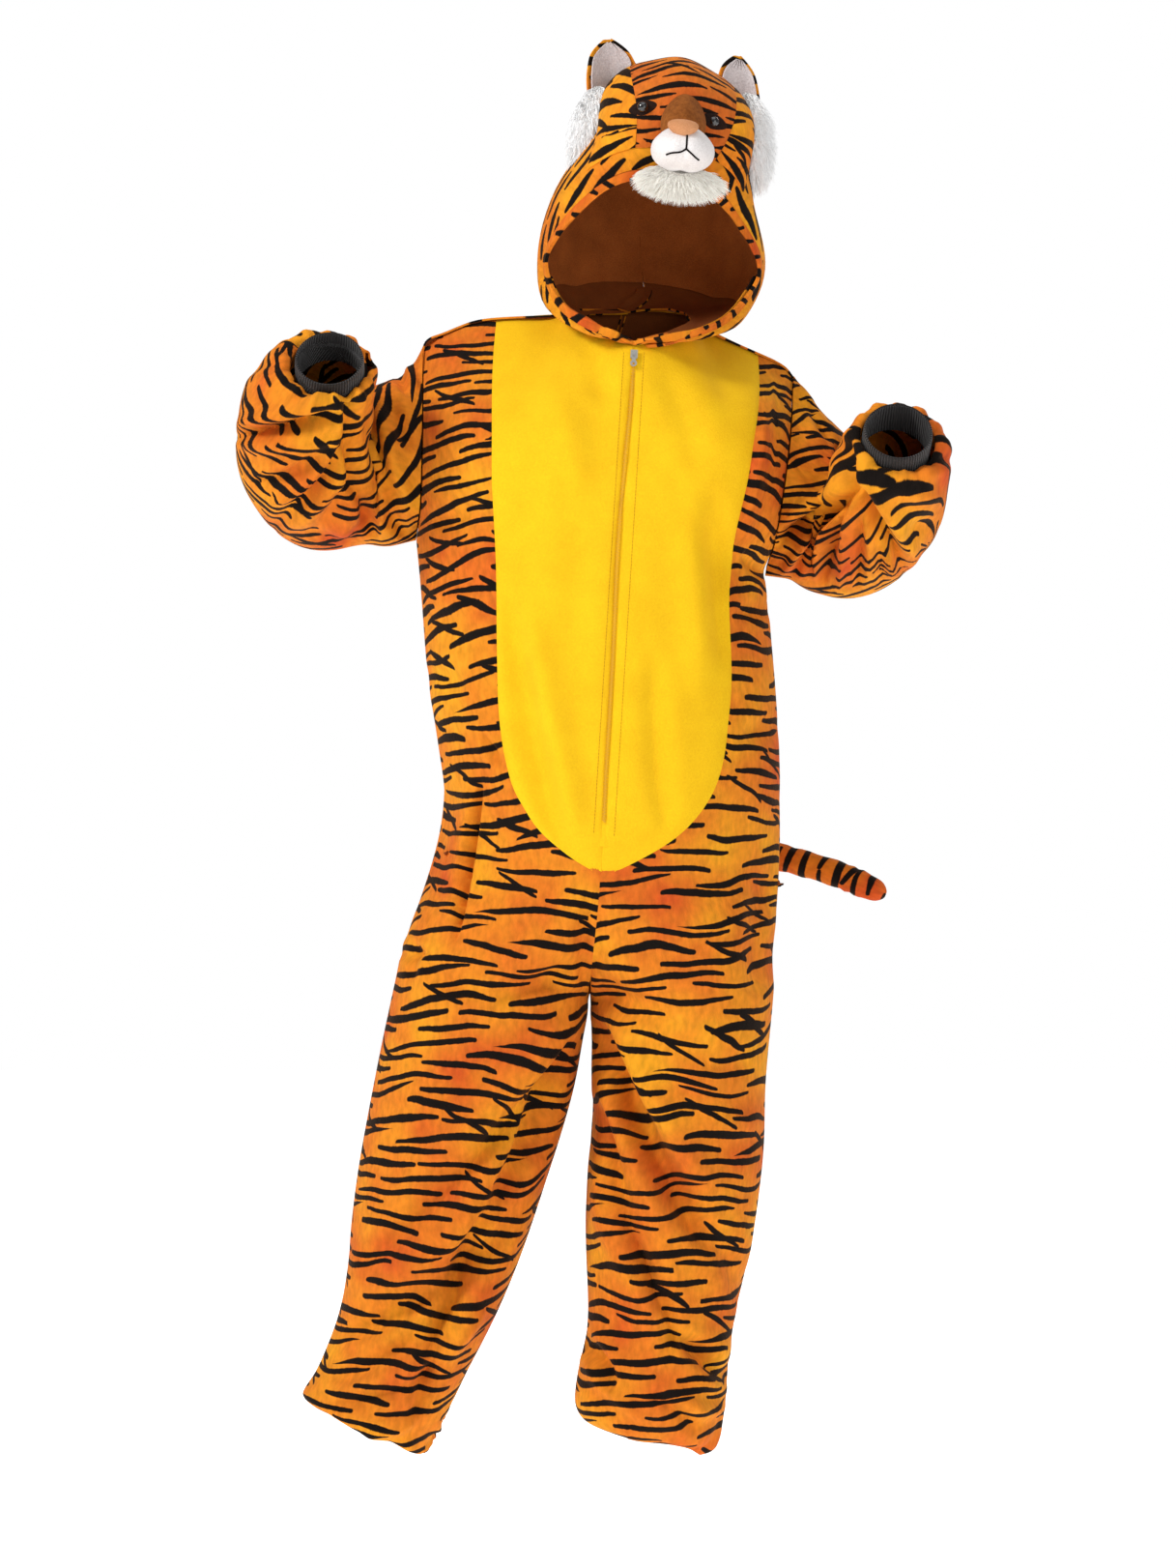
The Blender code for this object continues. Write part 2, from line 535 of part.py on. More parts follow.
def lean(point):
    """Tilts an upright head point the way the wearer holds the head."""
    x, y, z = point
    shift, roll = spline_by(HEAD_LEAN, z)
    yaw = HEAD_YAW * min(max((z - 0.02) / 0.1, 0.0), 1.0)
    x, y = x * math.cos(yaw) - y * math.sin(yaw), x * math.sin(yaw) + y * math.cos(yaw)
    return np.array((x * math.cos(roll) + shift, y, z - x * math.sin(roll)))


def hoop(side, w, base, t):
    """A point of the hood's hoop w at place t, from the crown 0 to the neckline."""
    points = [lean((SIDES[side] * x, y, z)) for x, y, z in spline(HOOD, w)]
    return spline(points + [base], t)


def hood_row(side, s):
    """A row of the hood that meets the neckline at place s."""
    w = float(np.interp(s, HOOP_NECK, range(len(HOOP_NECK))))
    base = along(neckline(side), s)
    return np.array([hoop(side, w, base, t) for t in HOOD_COLUMNS])


def hood_edges(side):
    """The rows at the face opening and behind the casing round it."""
    opening = hood_row(side, 0.0)
    ahead = hood_row(side, 1.0)
    share = BAND_WIDTH / np.linalg.norm(ahead - opening, axis=1)
    behind = []
    for t, part in zip(HOOD_COLUMNS, share):
        if t == HOOD_BASE:
            behind.append(along(neckline(side), 1.0))
            continue
        w = part * float(np.interp(1.0, HOOP_NECK, range(len(HOOP_NECK))))
        behind.append(hoop(side, w, along(neckline(side), part), t))
    return opening, np.array(behind)


def hood_grid():
    """The hood over both sides. Its columns run from the right base over the crown to the left base."""
    halves = [np.array([hood_edges(side)[1]] + [hood_row(side, s) for s in HOOD_ROWS]) for side in SIDES]
    return across(*halves)


def across(right, left):
    """One grid over both sides: the right side's columns from the base up, then the left side's down."""
    return np.concatenate([right[:, ::-1], left[:, 1:]], axis=1)


def band_grid():
    edges = {side: hood_edges(side) for side in SIDES}
    rows = {}
    for side, (opening, behind) in edges.items():
        rows[side] = np.array([opening, (opening + behind) / 2, behind])
    return across(rows["right"], rows["left"])


# Walls

# The edges of a grid on which a wall's points can lie between its neighbour's.
TOP_EDGE = ((0, slice(None)),)
FIRST_COLUMN = ((slice(None), 0),)
LAST_COLUMN = ((slice(None), -1),)


class Wall:
    """A cloth piece: a grid of points on its outer face, and what is needed to give it thickness."""

    def __init__(self, name, grid, material, turn, thickness=PLUSH, loop=False, gaps=None, straight=()):
        self.name = name
        self.grid = np.array(grid)
        self.material = material
        self.turn = turn
        self.thickness = thickness
        self.loop = loop
        self.gaps = gaps or {}
        self.straight = straight
        self.normals = None

    def own_normals(self):
        """Area-weighted outward normals from this piece's own cells."""
        grid = self.grid
        if self.loop:
            grid = np.concatenate([grid, grid[:, :1]], axis=1)
        a, b, c, d = grid[:-1, :-1], grid[:-1, 1:], grid[1:, 1:], grid[1:, :-1]
        cells = np.cross(c - a, d - b) * self.turn
        total = np.zeros(grid.shape)
        for rows in (slice(0, -1), slice(1, None)):
            for columns in (slice(0, -1), slice(1, None)):
                total[rows, columns] += cells
        if self.loop:
            total[:, 0] += total[:, -1]
            total = total[:, :-1]
        return total

    def drawn_back(self):
        """The outer points with each edge drawn back from its seam."""
        grid, moved = self.grid, self.grid.copy()
        half = SEAM_GAP / 2
        moved[0] += self.inward(grid[0], grid[1]) * half
        moved[-1] += self.inward(grid[-1], grid[-2]) * half
        if not self.loop:
            first = np.full(len(grid), half)
            last = np.full(len(grid), half)
            first += self.gaps.get("first", 0)
            last += self.gaps.get("last", 0)
            moved[:, 0] += self.inward(grid[:, 0], grid[:, 1]) * first[:, None]
            moved[:, -1] += self.inward(grid[:, -1], grid[:, -2]) * last[:, None]
        return moved

    @staticmethod
    def inward(edge, inner):
        """Unit vectors in the cloth, square to the edge and towards the piece."""
        run = unit(np.gradient(edge, axis=0))
        step = inner - edge
        step = step - run * (step * run).sum(axis=1, keepdims=True)
        return unit(step)

    def build(self, lift=0.0):
        """Makes the object. A lift moves the whole wall out along its normals."""
        outer = self.drawn_back() + self.normals * lift
        inner = outer - self.normals * self.thickness
        return closed_wall(self.name, outer, inner, self.loop, self.material)


def share_normals(walls):
    """Gives each wall's points their normals. Points that two walls share get one normal."""
    totals = {}
    owners = {}
    for wall in walls:
        own = wall.own_normals()
        for point, normal in zip(wall.grid.reshape(-1, 3), own.reshape(-1, 3)):
            key = tuple(np.round(point, 5))
            totals[key] = totals.get(key, 0) + normal
            owners.setdefault(key, set()).add(wall.name)
    for wall in walls:
        found = [totals[tuple(np.round(point, 5))] for point in wall.grid.reshape(-1, 3)]
        wall.normals = unit(np.array(found)).reshape(wall.grid.shape)
        for edge in wall.straight:
            shared = [len(owners[tuple(np.round(point, 5))]) > 1 for point in wall.grid[edge]]
            level_normals(wall, edge, np.flatnonzero(shared))


def level_normals(wall, edge, shared):
    """On an edge with straight stretches, gives a point between two shared ones the normal between theirs."""
    length = np.append(0, np.cumsum(np.linalg.norm(np.diff(wall.grid[edge], axis=0), axis=1)))
    normals = wall.normals[edge]
    levelled = np.stack([np.interp(length, length[shared], normals[shared, axis]) for axis in range(3)], axis=1)
    wall.normals[edge] = unit(levelled)


def grid_cells(rows, columns, loop):
    """The corner numbers of each cell of a grid."""
    wide = columns if loop else columns - 1
    for row in range(rows - 1):
        for column in range(wide):
            after = (column + 1) % columns
            yield (
                row * columns + column,
                row * columns + after,
                (row + 1) * columns + after,
                (row + 1) * columns + column,
            )


def closed_wall(name, outer, inner, loop, material):
    """Joins an outer and an inner grid into one closed wall. Each cell is two triangles that are split the
    same way in all walls, so that walls lying on each other stay parallel."""
    rows, columns = outer.shape[:2]
    count = rows * columns
    faces = []

    def add(a, b, c, d):
        faces.extend(((a, b, c), (a, c, d)))

    for a, b, c, d in grid_cells(rows, columns, loop):
        add(a, b, c, d)
        add(count + a, count + b, count + c, count + d)
    wide = columns if loop else columns - 1
    for column in range(wide):
        after = (column + 1) % columns
        low = (rows - 1) * columns
        add(column, after, count + after, count + column)
        add(low + column, count + low + column, count + low + after, low + after)
    if not loop:
        for row in range(rows - 1):
            a, b = row * columns, (row + 1) * columns
            add(a, count + a, count + b, b)
            add(a + columns - 1, b + columns - 1, count + b + columns - 1, count + a + columns - 1)
    points = np.concatenate([outer.reshape(-1, 3), inner.reshape(-1, 3)])
    return new_object(name, points, faces, material)


def new_object(name, points, faces, material):
    mesh = bpy.data.meshes.new(name)
    mesh.from_pydata([tuple(map(float, point)) for point in points], [], faces)
    shape = bmesh.new()
    shape.from_mesh(mesh)
    bmesh.ops.recalc_face_normals(shape, faces=shape.faces)
    shape.to_mesh(mesh)
    shape.free()
    piece = bpy.data.objects.new(name, mesh)
    bpy.context.collection.objects.link(piece)
    finish(piece, material)
    return piece


def finish(piece, material):
    piece.data.materials.clear()
    piece.data.materials.append(bpy.data.materials[material])


def make_materials():
    for name, (colour, roughness, metallic) in MATERIALS.items():
        material = bpy.data.materials.new(name)
        material.use_nodes = True
        shader = material.node_tree.nodes["Principled BSDF"]
        shader.inputs["Base Color"].default_value = (*colour, 1.0)
        shader.inputs["Roughness"].default_value = roughness
        shader.inputs["Metallic"].default_value = metallic


# Folds

def fold_height(piece_set, point):
    """How far the folds move a point of this piece outwards."""
    x, _, z = point
    height = 0.0
    for name, x0, z0, x1, z1, half_width, rise in FOLDS:
        if name != piece_set:
            continue
        run = np.array((x1 - x0, z1 - z0))
        share = ((x - x0) * run[0] + (z - z0) * run[1]) / (run @ run)
        near = min(max(share, 0.0), 1.0)
        gap = math.hypot(x - x0 - near * run[0], z - z0 - near * run[1])
        height += rise * math.exp(-((gap / half_width) ** 2))
    return height


def fold(wall):
    """Raises the folds, fading out at the piece's edges so that seams stay where they are."""
    rows, columns = wall.grid.shape[:2]
    for row in range(1, rows - 1):
        for column in range(1, columns - 1):
            edge = min(column, columns - 1 - column)
            fade = 0.35 if edge == 1 else 1.0
            height = fade * fold_height(wall.name, wall.grid[row, column])
            wall.grid[row, column] += wall.normals[row, column] * height


# Solid pieces

def ellipsoid(name, centre, radii, material, rotation=(0.0, 0.0, 0.0), segments=20, rings=12, grow=0.0):
    shape = bmesh.new()
    bmesh.ops.create_uvsphere(shape, u_segments=segments, v_segments=rings, radius=1.0)
    mesh = bpy.data.meshes.new(name)
    shape.to_mesh(mesh)
    shape.free()
    turn = Matrix.Rotation(rotation[2], 4, "Z") @ Matrix.Rotation(rotation[1], 4, "Y")
    turn = turn @ Matrix.Rotation(rotation[0], 4, "X")
    scale = Matrix.Diagonal((radii[0] + grow, radii[1] + grow, radii[2] + grow, 1.0))
    mesh.transform(Matrix.Translation(centre) @ turn @ scale)
    piece = bpy.data.objects.new(name, mesh)
    bpy.context.collection.objects.link(piece)
    finish(piece, material)
    return piece


def box(name, centre, size, material):
    shape = bmesh.new()
    bmesh.ops.create_cube(shape, size=1.0)
    mesh = bpy.data.meshes.new(name)
    shape.to_mesh(mesh)
    shape.free()
    mesh.transform(Matrix.Translation(centre) @ Matrix.Diagonal((*size, 1.0)))
    piece = bpy.data.objects.new(name, mesh)
    bpy.context.collection.objects.link(piece)
    finish(piece, material)
    return piece


def combine(piece, other, operation):
    """Applies a Boolean with another object and hides that object."""
    modifier = piece.modifiers.new(operation.lower(), "BOOLEAN")
    modifier.operation = operation
    modifier.object = other
    modifier.solver = "EXACT"
    bpy.context.view_layer.update()
    graph = bpy.context.evaluated_depsgraph_get()
    result = bpy.data.meshes.new_from_object(piece.evaluated_get(graph))
    piece.modifiers.clear()
    old = piece.data
    piece.data = result
    bpy.data.meshes.remove(old)
    return piece


def remove(piece):
    bpy.data.objects.remove(piece)


def swept_tube(name, path, material, segments=12):
    """A solid tube with a radius at each place of its path."""
    path = np.array(path)
    count = 2 * (len(path) - 1) + 1
    rings = [spline(path, place) for place in np.linspace(0, len(path) - 1, count)]
    rings = np.array(rings)
    centres, radii = rings[:, :3], rings[:, 3]
    runs = unit(np.gradient(centres, axis=0))
    points = []
    for centre, run, radius in zip(centres, runs, radii):
        level = unit(np.cross(run, (0, 0, 1)))
        top = np.cross(level, run)
        for k in range(segments):
            angle = 2 * math.pi * k / segments
            points.append(centre + radius * (level * math.cos(angle) + top * math.sin(angle)))
    faces = []
    for a, b, c, d in grid_cells(len(rings), segments, True):
        faces.append((a, b, c, d))
    faces.append(tuple(range(segments)))
    faces.append(tuple(range(len(points) - segments, len(points))))
    return new_object(name, points, faces, material)


def main():
    for piece in list(bpy.data.objects):
        bpy.data.objects.remove(piece)
    make_materials()
    body = build_body()
    build_zip(body)
    build_head(body)
    build_tail()


def build_body():
    """The jumpsuit's cloth and the hood, whose seams share their points."""
    walls = {}
    for side, sign in SIDES.items():
        turn = -sign
        zip_gap = np.where(np.array(TRUNK_ROWS) < row_at(ZIP_END), ZIP_HALF_OPENING, 0.0)
        belly = Wall("belly_" + side, belly_grid(side), "belly_fleece", turn, gaps={"first": zip_gap},
                     straight=TOP_EDGE)
        front = Wall("front_" + side, front_grid(side), "tiger_plush", turn, straight=TOP_EDGE)
        back = Wall("back_" + side, back_grid(side), "tiger_plush", turn)
        sleeve_points = sleeve_grid(side, front.grid, back.grid)
        sleeve = Wall("sleeve_" + side, sleeve_points, "tiger_plush", sign, loop=True)
        cuff = Wall("cuff_" + side, cuff_grid(side), "black_rib", sign, thickness=RIB, loop=True)
        for wall in (belly, front, back, sleeve, cuff):
            walls[wall.name] = wall
    hood = hood_grid()
    crown = len(HOOD_COLUMNS) - 1
    walls["hood_right"] = Wall("hood_right", hood[:, :crown + 1], "tiger_plush", 1, straight=FIRST_COLUMN)
    walls["hood_left"] = Wall("hood_left", hood[:, crown:], "tiger_plush", 1, straight=LAST_COLUMN)
    zip_gap = np.array((ZIP_HALF_OPENING, 0.0007, 0.0003))
    thick = np.full((hood.shape[1], 1), BAND)
    thick[[0, -1]] = BAND_END
    walls["hood_band"] = Wall("hood_band", band_grid(), "tiger_plush", 1, thickness=thick,
                              gaps={"first": zip_gap, "last": zip_gap}, straight=FIRST_COLUMN + LAST_COLUMN)
    share_normals(walls.values())
    for name in ("front_right", "front_left"):
        fold(walls[name])
    share_normals(walls.values())
    for wall in walls.values():
        wall.build()
    return walls


def beside_zip(walls, row, offset):
    """A point and normal on the yellow inset, this far to the left of the centre front (right if negative)."""
    belly = walls["belly_left" if offset > 0 else "belly_right"]
    first, second = belly.grid[row, 0], belly.grid[row, 1]
    share = abs(offset) / np.linalg.norm(second - first)
    point = first + (second - first) * share
    normal = unit(belly.normals[row, 0] * (1 - share) + belly.normals[row, 1] * share)
    return point, normal


def zip_strip(walls, offsets, start, depth):
    """A grid behind the zip opening: a column for each offset, from this far below the neckline."""
    rows = [row for row, v in enumerate(TRUNK_ROWS) if v < row_at(ZIP_END)]
    points = np.array([[beside_zip(walls, row, offset) for offset in offsets] for row in rows])
    grid, normals = points[:, :, 0], points[:, :, 1]
    share = start / np.linalg.norm(grid[1] - grid[0], axis=1)[:, None]
    grid[0] += (grid[1] - grid[0]) * share
    normals[0] = unit(normals[0] + (normals[1] - normals[0]) * share)
    return grid - normals * depth, normals


def build_zip(walls):
    tape, normals = zip_strip(walls, (-TAPE_HALF, -CHAIN_HALF, CHAIN_HALF, TAPE_HALF), 0.003, PLUSH + REST_GAP)
    closed_wall("zip_tape", tape, tape - normals * TAPE_THICK, False, "zip_tape")
    chain_start = SLIDER_TOP + SLIDER_LENGTH + REST_GAP
    chain, normals = zip_strip(walls, (-CHAIN_HALF, CHAIN_HALF), chain_start, CHAIN_SINK)
    closed_wall("zip_chain", chain, chain - normals * CHAIN_THICK, False, "zip_metal")
    build_slider(zip_frame(walls))


def zip_frame(walls):
    """The slider's own frame: x to the left, y out of the cloth, z up along the zip."""
    top, below = walls["belly_right"].grid[0, 0], walls["belly_right"].grid[1, 0]
    up = unit(top - below)
    side = unit(np.cross((0, -1, 0), up)) * -1
    side = side if side[0] > 0 else -side
    out = np.cross(up, side)
    out = out if out[1] < 0 else -out
    place = top - up * (SLIDER_TOP + SLIDER_LENGTH / 2)
    frame = Matrix.Identity(4)
    for row in range(3):
        frame[row][0], frame[row][1], frame[row][2], frame[row][3] = side[row], out[row], up[row], place[row]
    return frame


def block(name, frame, low, high, material="zip_metal"):
    """A box between two corners of a frame."""
    centre = [(a + b) / 2 for a, b in zip(low, high)]
    size = [b - a for a, b in zip(low, high)]
    piece = box(name, centre, size, material)
    place(piece, frame)
    return piece


def place(piece, frame):
    """Moves the mesh into a frame. A mirroring frame turns its faces, so they are turned back."""
    piece.data.transform(frame)
    if frame.determinant() < 0:
        piece.data.flip_normals()


def join(piece, others):
    for other in others:
        combine(piece, other, "UNION")
        remove(other)
    return piece


def build_slider(frame):
    """The slider with its bail, and the pull tab whose crossbar turns under the bail."""
    half = SLIDER_LENGTH / 2
    slider = block("zip_slider", frame, (-0.0043, 0.0005, -half), (0.0043, 0.0021, half))
    stem = block("stem", frame, (-0.0022, -0.0024, -half + 0.001), (0.0022, 0.0010, half - 0.001))
    foot = (0.0010, 0.0046)
    feet = [
        block("foot", frame, (-foot[0], 0.0015, sign * 0.0023 - 0.0005), (foot[0], foot[1], sign * 0.0023 + 0.0005))
        for sign in (-1, 1)
    ]
    bridge = block("bridge", frame, (-foot[0], BAIL_CLEAR, -0.0028), (foot[0], foot[1] + 0.0001, 0.0028))
    join(slider, [stem, *feet, bridge])

    tab = block("zip_pull", frame, (-0.0024, PIVOT_OUT - 0.0005, -0.0150), (0.0024, PIVOT_OUT + 0.0005, 0.0005))
    end = cylinder("end", (0, PIVOT_OUT, -0.0125), 0.0042, 0.0010)
    place(end, frame)
    join(tab, [end])
    slot = block("slot", frame, (-0.0014, PIVOT_OUT - 0.002, -0.0046), (0.0014, PIVOT_OUT + 0.002, -0.0005))
    eye = cylinder("eye", (0, PIVOT_OUT, -0.0130), 0.0016, 0.004)
    place(eye, frame)
    for cutter in (slot, eye):
        combine(tab, cutter, "DIFFERENCE")
        remove(cutter)
    pivot = frame @ Vector((0, PIVOT_OUT, 0))
    tab.data.transform(Matrix.Translation(-pivot))
    tab.location = pivot


def cylinder(name, centre, radius, depth):
    """A cylinder whose axis is the frame's y."""
    shape = bmesh.new()
    bmesh.ops.create_cone(shape, cap_ends=True, segments=16, radius1=radius, radius2=radius, depth=depth)
    mesh = bpy.data.meshes.new(name)
    shape.to_mesh(mesh)
    shape.free()
    mesh.transform(Matrix.Translation(centre) @ Matrix.Rotation(math.radians(90), 4, "X"))
    piece = bpy.data.objects.new(name, mesh)
    bpy.context.collection.objects.link(piece)
    finish(piece, "zip_metal")
    return piece


def face_height(row, column):
    """How far the padded face stands above the hood, by hood row and by columns from the crown."""
    middle = (FACE_FIRST_ROW + FACE_LAST_ROW) / 2
    along_face = 1 - ((row - middle) / (FACE_LAST_ROW - middle)) ** 2
    across_face = 1 - (column / FACE_EDGE_COLUMN) ** 2
    return FACE_SEAT + PLUSH + FACE_BULGE * max(along_face, 0) * max(across_face, 0) ** 0.5


def build_head(walls):
    """The lining, the padded face and what is sewn on the hood."""
    right, left = walls["hood_right"], walls["hood_left"]
    hood = np.concatenate([right.grid, left.grid[:, 1:]], axis=1)
    normals = np.concatenate([right.normals, left.normals[:, 1:]], axis=1)
    crown = len(HOOD_COLUMNS) - 1
    lining_grid, lining_normals = hood[:, 2:-2], normals[:, 2:-2]
    lining = Wall("hood_lining", lining_grid, "brown_lining", 1, thickness=LINING)
    lining.normals = lining_normals
    lining.build(lift=-PLUSH - LINING_GAP)

    rows = range(FACE_FIRST_ROW, FACE_LAST_ROW + 1)
    columns = range(-FACE_EDGE_COLUMN, FACE_EDGE_COLUMN + 1)
    face = np.array([
        [hood[row, crown + column] + normals[row, crown + column] * face_height(row, column) for column in columns]
        for row in rows
    ])
    edge, seam = FACE_EDGE_COLUMN, FACE_SEAM_COLUMN
    panels = {
        "face_right": face[:, :edge - seam + 1],
        "face_centre": face[:, edge - seam:edge + seam + 1],
        "face_left": face[:, edge + seam:],
    }
    pieces = [Wall(name, grid, "tiger_plush", 1) for name, grid in panels.items()]
    share_normals(pieces)
    for piece in pieces:
        piece.build()
    form = head_form(walls["hood_band"], hood, face, crown)
    build_features(form)
    build_ears(form)
    remove(form)


def head_form(band, hood, face, crown):
    """A cutter a little larger than the hood and the face, which gives what lies on them its seat."""
    wide = FACE_EDGE_COLUMN + 2
    grid = hood[:12, crown - wide:crown + wide + 1].copy()
    inner = slice(wide - FACE_EDGE_COLUMN, wide + FACE_EDGE_COLUMN + 1)
    grid[FACE_FIRST_ROW:FACE_LAST_ROW + 1, inner] = face
    front = band.grid[0, crown - wide:crown + wide + 1]
    grid = np.concatenate([front[None], grid])
    form = Wall("head_form", grid, "black_rib", 1, thickness=FORM_DEPTH)
    share_normals([form])
    outer = form.grid + form.normals * REST_GAP
    piece = closed_wall("head_form", outer, outer - form.normals * FORM_DEPTH, False, "black_rib")
    piece.hide_render = True
    return piece


def seat(piece, form, *neighbours):
    """Cuts a piece back from the head and from grown copies of its neighbours."""
    combine(piece, form, "DIFFERENCE")
    for neighbour in neighbours:
        combine(piece, neighbour, "DIFFERENCE")
        remove(neighbour)
    return piece


def solid_at(key, grow=0.0, name=None):
    centre, radii, turn, material, segments, rings = FEATURES[key]
    return ellipsoid(name or key, centre, radii, material, turn, segments, rings, grow)


def build_features(form):
    gap = REST_GAP
    seat(solid_at("nose_bridge"), form)
    seat(solid_at("muzzle"), form, solid_at("nose_bridge", gap, "grown"))
    seat(solid_at("nose"), form, solid_at("nose_bridge", gap, "grown"), solid_at("muzzle", gap, "grown"))
    seat(solid_at("chin_fur"), form, solid_at("muzzle", gap, "grown"))
    for name in ("eye_right", "eye_left", "ruff_right", "ruff_left"):
        seat(solid_at(name), form)


def ear_grid(width, height, cup, shrink):
    """A rounded ear, upright, cupped towards -Y. Rows run from the base to the tip."""
    rows = []
    for h in np.linspace(-0.35, 1, 7):
        reach = math.sqrt(max(1 - (h * 0.985) ** 2, 0.0)) if h > 0 else 1.0
        half = (width / 2 - shrink) * reach
        line = []
        for s in np.linspace(-1, 1, 7):
            back = cup * (1 - (s * reach) ** 2) * (1 - 0.5 * max(h, 0))
            line.append((half * s, back, (height - shrink) * h))
        rows.append(line)
    return np.array(rows)


def build_ears(form):
    for side, sign in SIDES.items():
        x, y, z, lean_out, turn_out, width, height = EARS[side]
        frame = Matrix.Translation((x, y, z)) @ Matrix.Rotation(turn_out, 4, "Z") @ Matrix.Rotation(lean_out, 4, "Y")
        ruff = "ruff_" + side
        for name, shrink, thickness, material, lift in (
            ("ear_" + side, 0.0, PLUSH, "tiger_plush", 0.0),
            ("ear_lining_" + side, 0.004, EAR_LINING, "white_plush", EAR_LINING + REST_GAP),
        ):
            grid = ear_grid(width, height, EAR_CUP, shrink)
            placed = np.array([[frame @ Vector(point) for point in row] for row in grid])
            wall = Wall(name, placed, material, -1, thickness=thickness)
            share_normals([wall])
            if (wall.normals[3, 3] @ np.array(frame.to_3x3() @ Vector((0, -1, 0)))) < 0:
                wall.normals = -wall.normals
            piece = wall.build(lift=lift)
            seat(piece, form, solid_at(ruff, REST_GAP, "grown"))


def build_tail():
    swept_tube("tail", TAIL, "tiger_plush")


main()
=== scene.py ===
"""Tiger costume, dressed for rendering.

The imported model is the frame: every cloth panel below lies on the outer face of its own
solid, gets its creases, seam grooves and wall, and rides on the garment. Everything is in
metres, with the front of the costume towards -Y and the neck point at the origin.
"Right" is the wearer's right, which is towards -X.
"""

import json
import logging
import math
from collections.abc import Callable, Iterator, Sequence
from contextlib import contextmanager
from dataclasses import dataclass, field
from enum import Enum

import bmesh
import bpy
import numpy as np
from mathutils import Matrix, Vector
from mathutils.bvhtree import BVHTree
from mathutils.kdtree import KDTree

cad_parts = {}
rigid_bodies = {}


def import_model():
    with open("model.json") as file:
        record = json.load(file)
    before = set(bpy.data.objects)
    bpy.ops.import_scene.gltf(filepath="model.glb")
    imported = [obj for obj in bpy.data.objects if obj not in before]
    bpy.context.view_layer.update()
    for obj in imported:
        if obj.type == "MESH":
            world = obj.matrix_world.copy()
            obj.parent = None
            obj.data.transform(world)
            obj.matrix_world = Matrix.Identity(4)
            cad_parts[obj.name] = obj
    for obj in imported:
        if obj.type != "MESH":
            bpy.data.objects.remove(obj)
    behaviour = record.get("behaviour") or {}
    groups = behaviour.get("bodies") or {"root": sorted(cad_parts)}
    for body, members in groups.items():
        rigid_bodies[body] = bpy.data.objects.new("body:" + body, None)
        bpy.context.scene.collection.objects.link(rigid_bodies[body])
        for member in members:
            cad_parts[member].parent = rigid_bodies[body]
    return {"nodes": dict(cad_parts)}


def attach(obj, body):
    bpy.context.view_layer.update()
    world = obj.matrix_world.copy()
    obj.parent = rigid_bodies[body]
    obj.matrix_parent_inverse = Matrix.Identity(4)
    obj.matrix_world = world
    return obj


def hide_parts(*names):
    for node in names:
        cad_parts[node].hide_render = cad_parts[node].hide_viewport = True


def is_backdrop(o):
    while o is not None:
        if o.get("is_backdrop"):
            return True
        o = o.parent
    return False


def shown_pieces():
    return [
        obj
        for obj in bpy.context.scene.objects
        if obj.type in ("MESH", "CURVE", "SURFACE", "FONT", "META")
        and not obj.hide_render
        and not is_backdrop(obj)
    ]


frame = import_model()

log = logging.getLogger("tiger_costume")

GARMENT = "garment"
PULL = "pull_tab"
CLOTH_UV = "cloth"
PLUSH_THICK = 0.0025
LINING_THICK = 0.001
MERGE = 0.00002
FOLD_DEPTH = 2.2
SEAM_FADE = 0.012
TURNED_IN = 0.0004
UNDER_LAP = 0.0010
HEM_TOP = -1.34
RAY_SPREAD = 0.070
CUFF_CLEAR = 0.0456
CUFF_REACH = 0.075
PANEL_ALLOWANCE = 0.004
QUAD_ANGLE = math.radians(70)
SMOOTH_ANGLE = math.radians(62)
# Height, half the depth and rounds of the band at the hips that is evened out
HIP = (-0.640, 0.060, 24)


class Side(Enum):
    """Which side of the costume a fold lies on."""

    FRONT = -1.0
    BACK = 1.0


class Layout(Enum):
    """How a piece of cloth gets its flat pattern."""

    PANEL = "panel"
    TUBE = "tube"
    SLEEVE = "sleeve"
    BAND = "band"
    RAYS = "rays"


def linear(colour: str) -> tuple[float, float, float, float]:
    """Turns an sRGB hex colour into linear red, green, blue and alpha.

    Args:
        colour: Six hex digits after a hash sign.

    Returns:
        The four numbers that a colour socket takes.
    """
    parts = [int(colour[i : i + 2], 16) / 255 for i in (1, 3, 5)]
    curve = [p / 12.92 if p <= 0.04045 else ((p + 0.055) / 1.055) ** 2.4 for p in parts]
    return (curve[0], curve[1], curve[2], 1.0)


def add(
    tree: bpy.types.NodeTree, kind: str, given: dict[str | int, object] | None = None, **settings: object,
) -> bpy.types.Node:
    """Adds one shader node with its settings and its links.

    Args:
        tree: The material's node tree.
        kind: The node's type without its ShaderNode prefix.
        given: Input name or number to a node, a socket or a constant.
        **settings: The node's own properties.

    Returns:
        The new node.
    """
    made = tree.nodes.new("ShaderNode" + kind)
    for name, value in settings.items():
        setattr(made, name, value)
    for name, value in (given or {}).items():
        source = value.outputs[0] if isinstance(value, bpy.types.Node) else value
        if isinstance(source, bpy.types.NodeSocket):
            tree.links.new(source, made.inputs[name])
        else:
            made.inputs[name].default_value = source
    return made


def chain(
    tree: bpy.types.NodeTree, known: dict[str, object], steps: Sequence[tuple]
) -> dict[str, object]:
    """Works out a table of sums with the tree's own nodes.

    Args:
        tree: The material's node tree.
        known: Names that the table may use, each a socket or a number.
        steps: Rows of result name, operation and one to three values or names.

    Returns:
        The known names with each row's result added.
    """
    for result, operation, *values in steps:
        inputs = {i: known.get(v, v) for i, v in enumerate(values)}
        known[result] = add(tree, "Math", inputs, operation=operation).outputs[0]
    return known


# Finishes


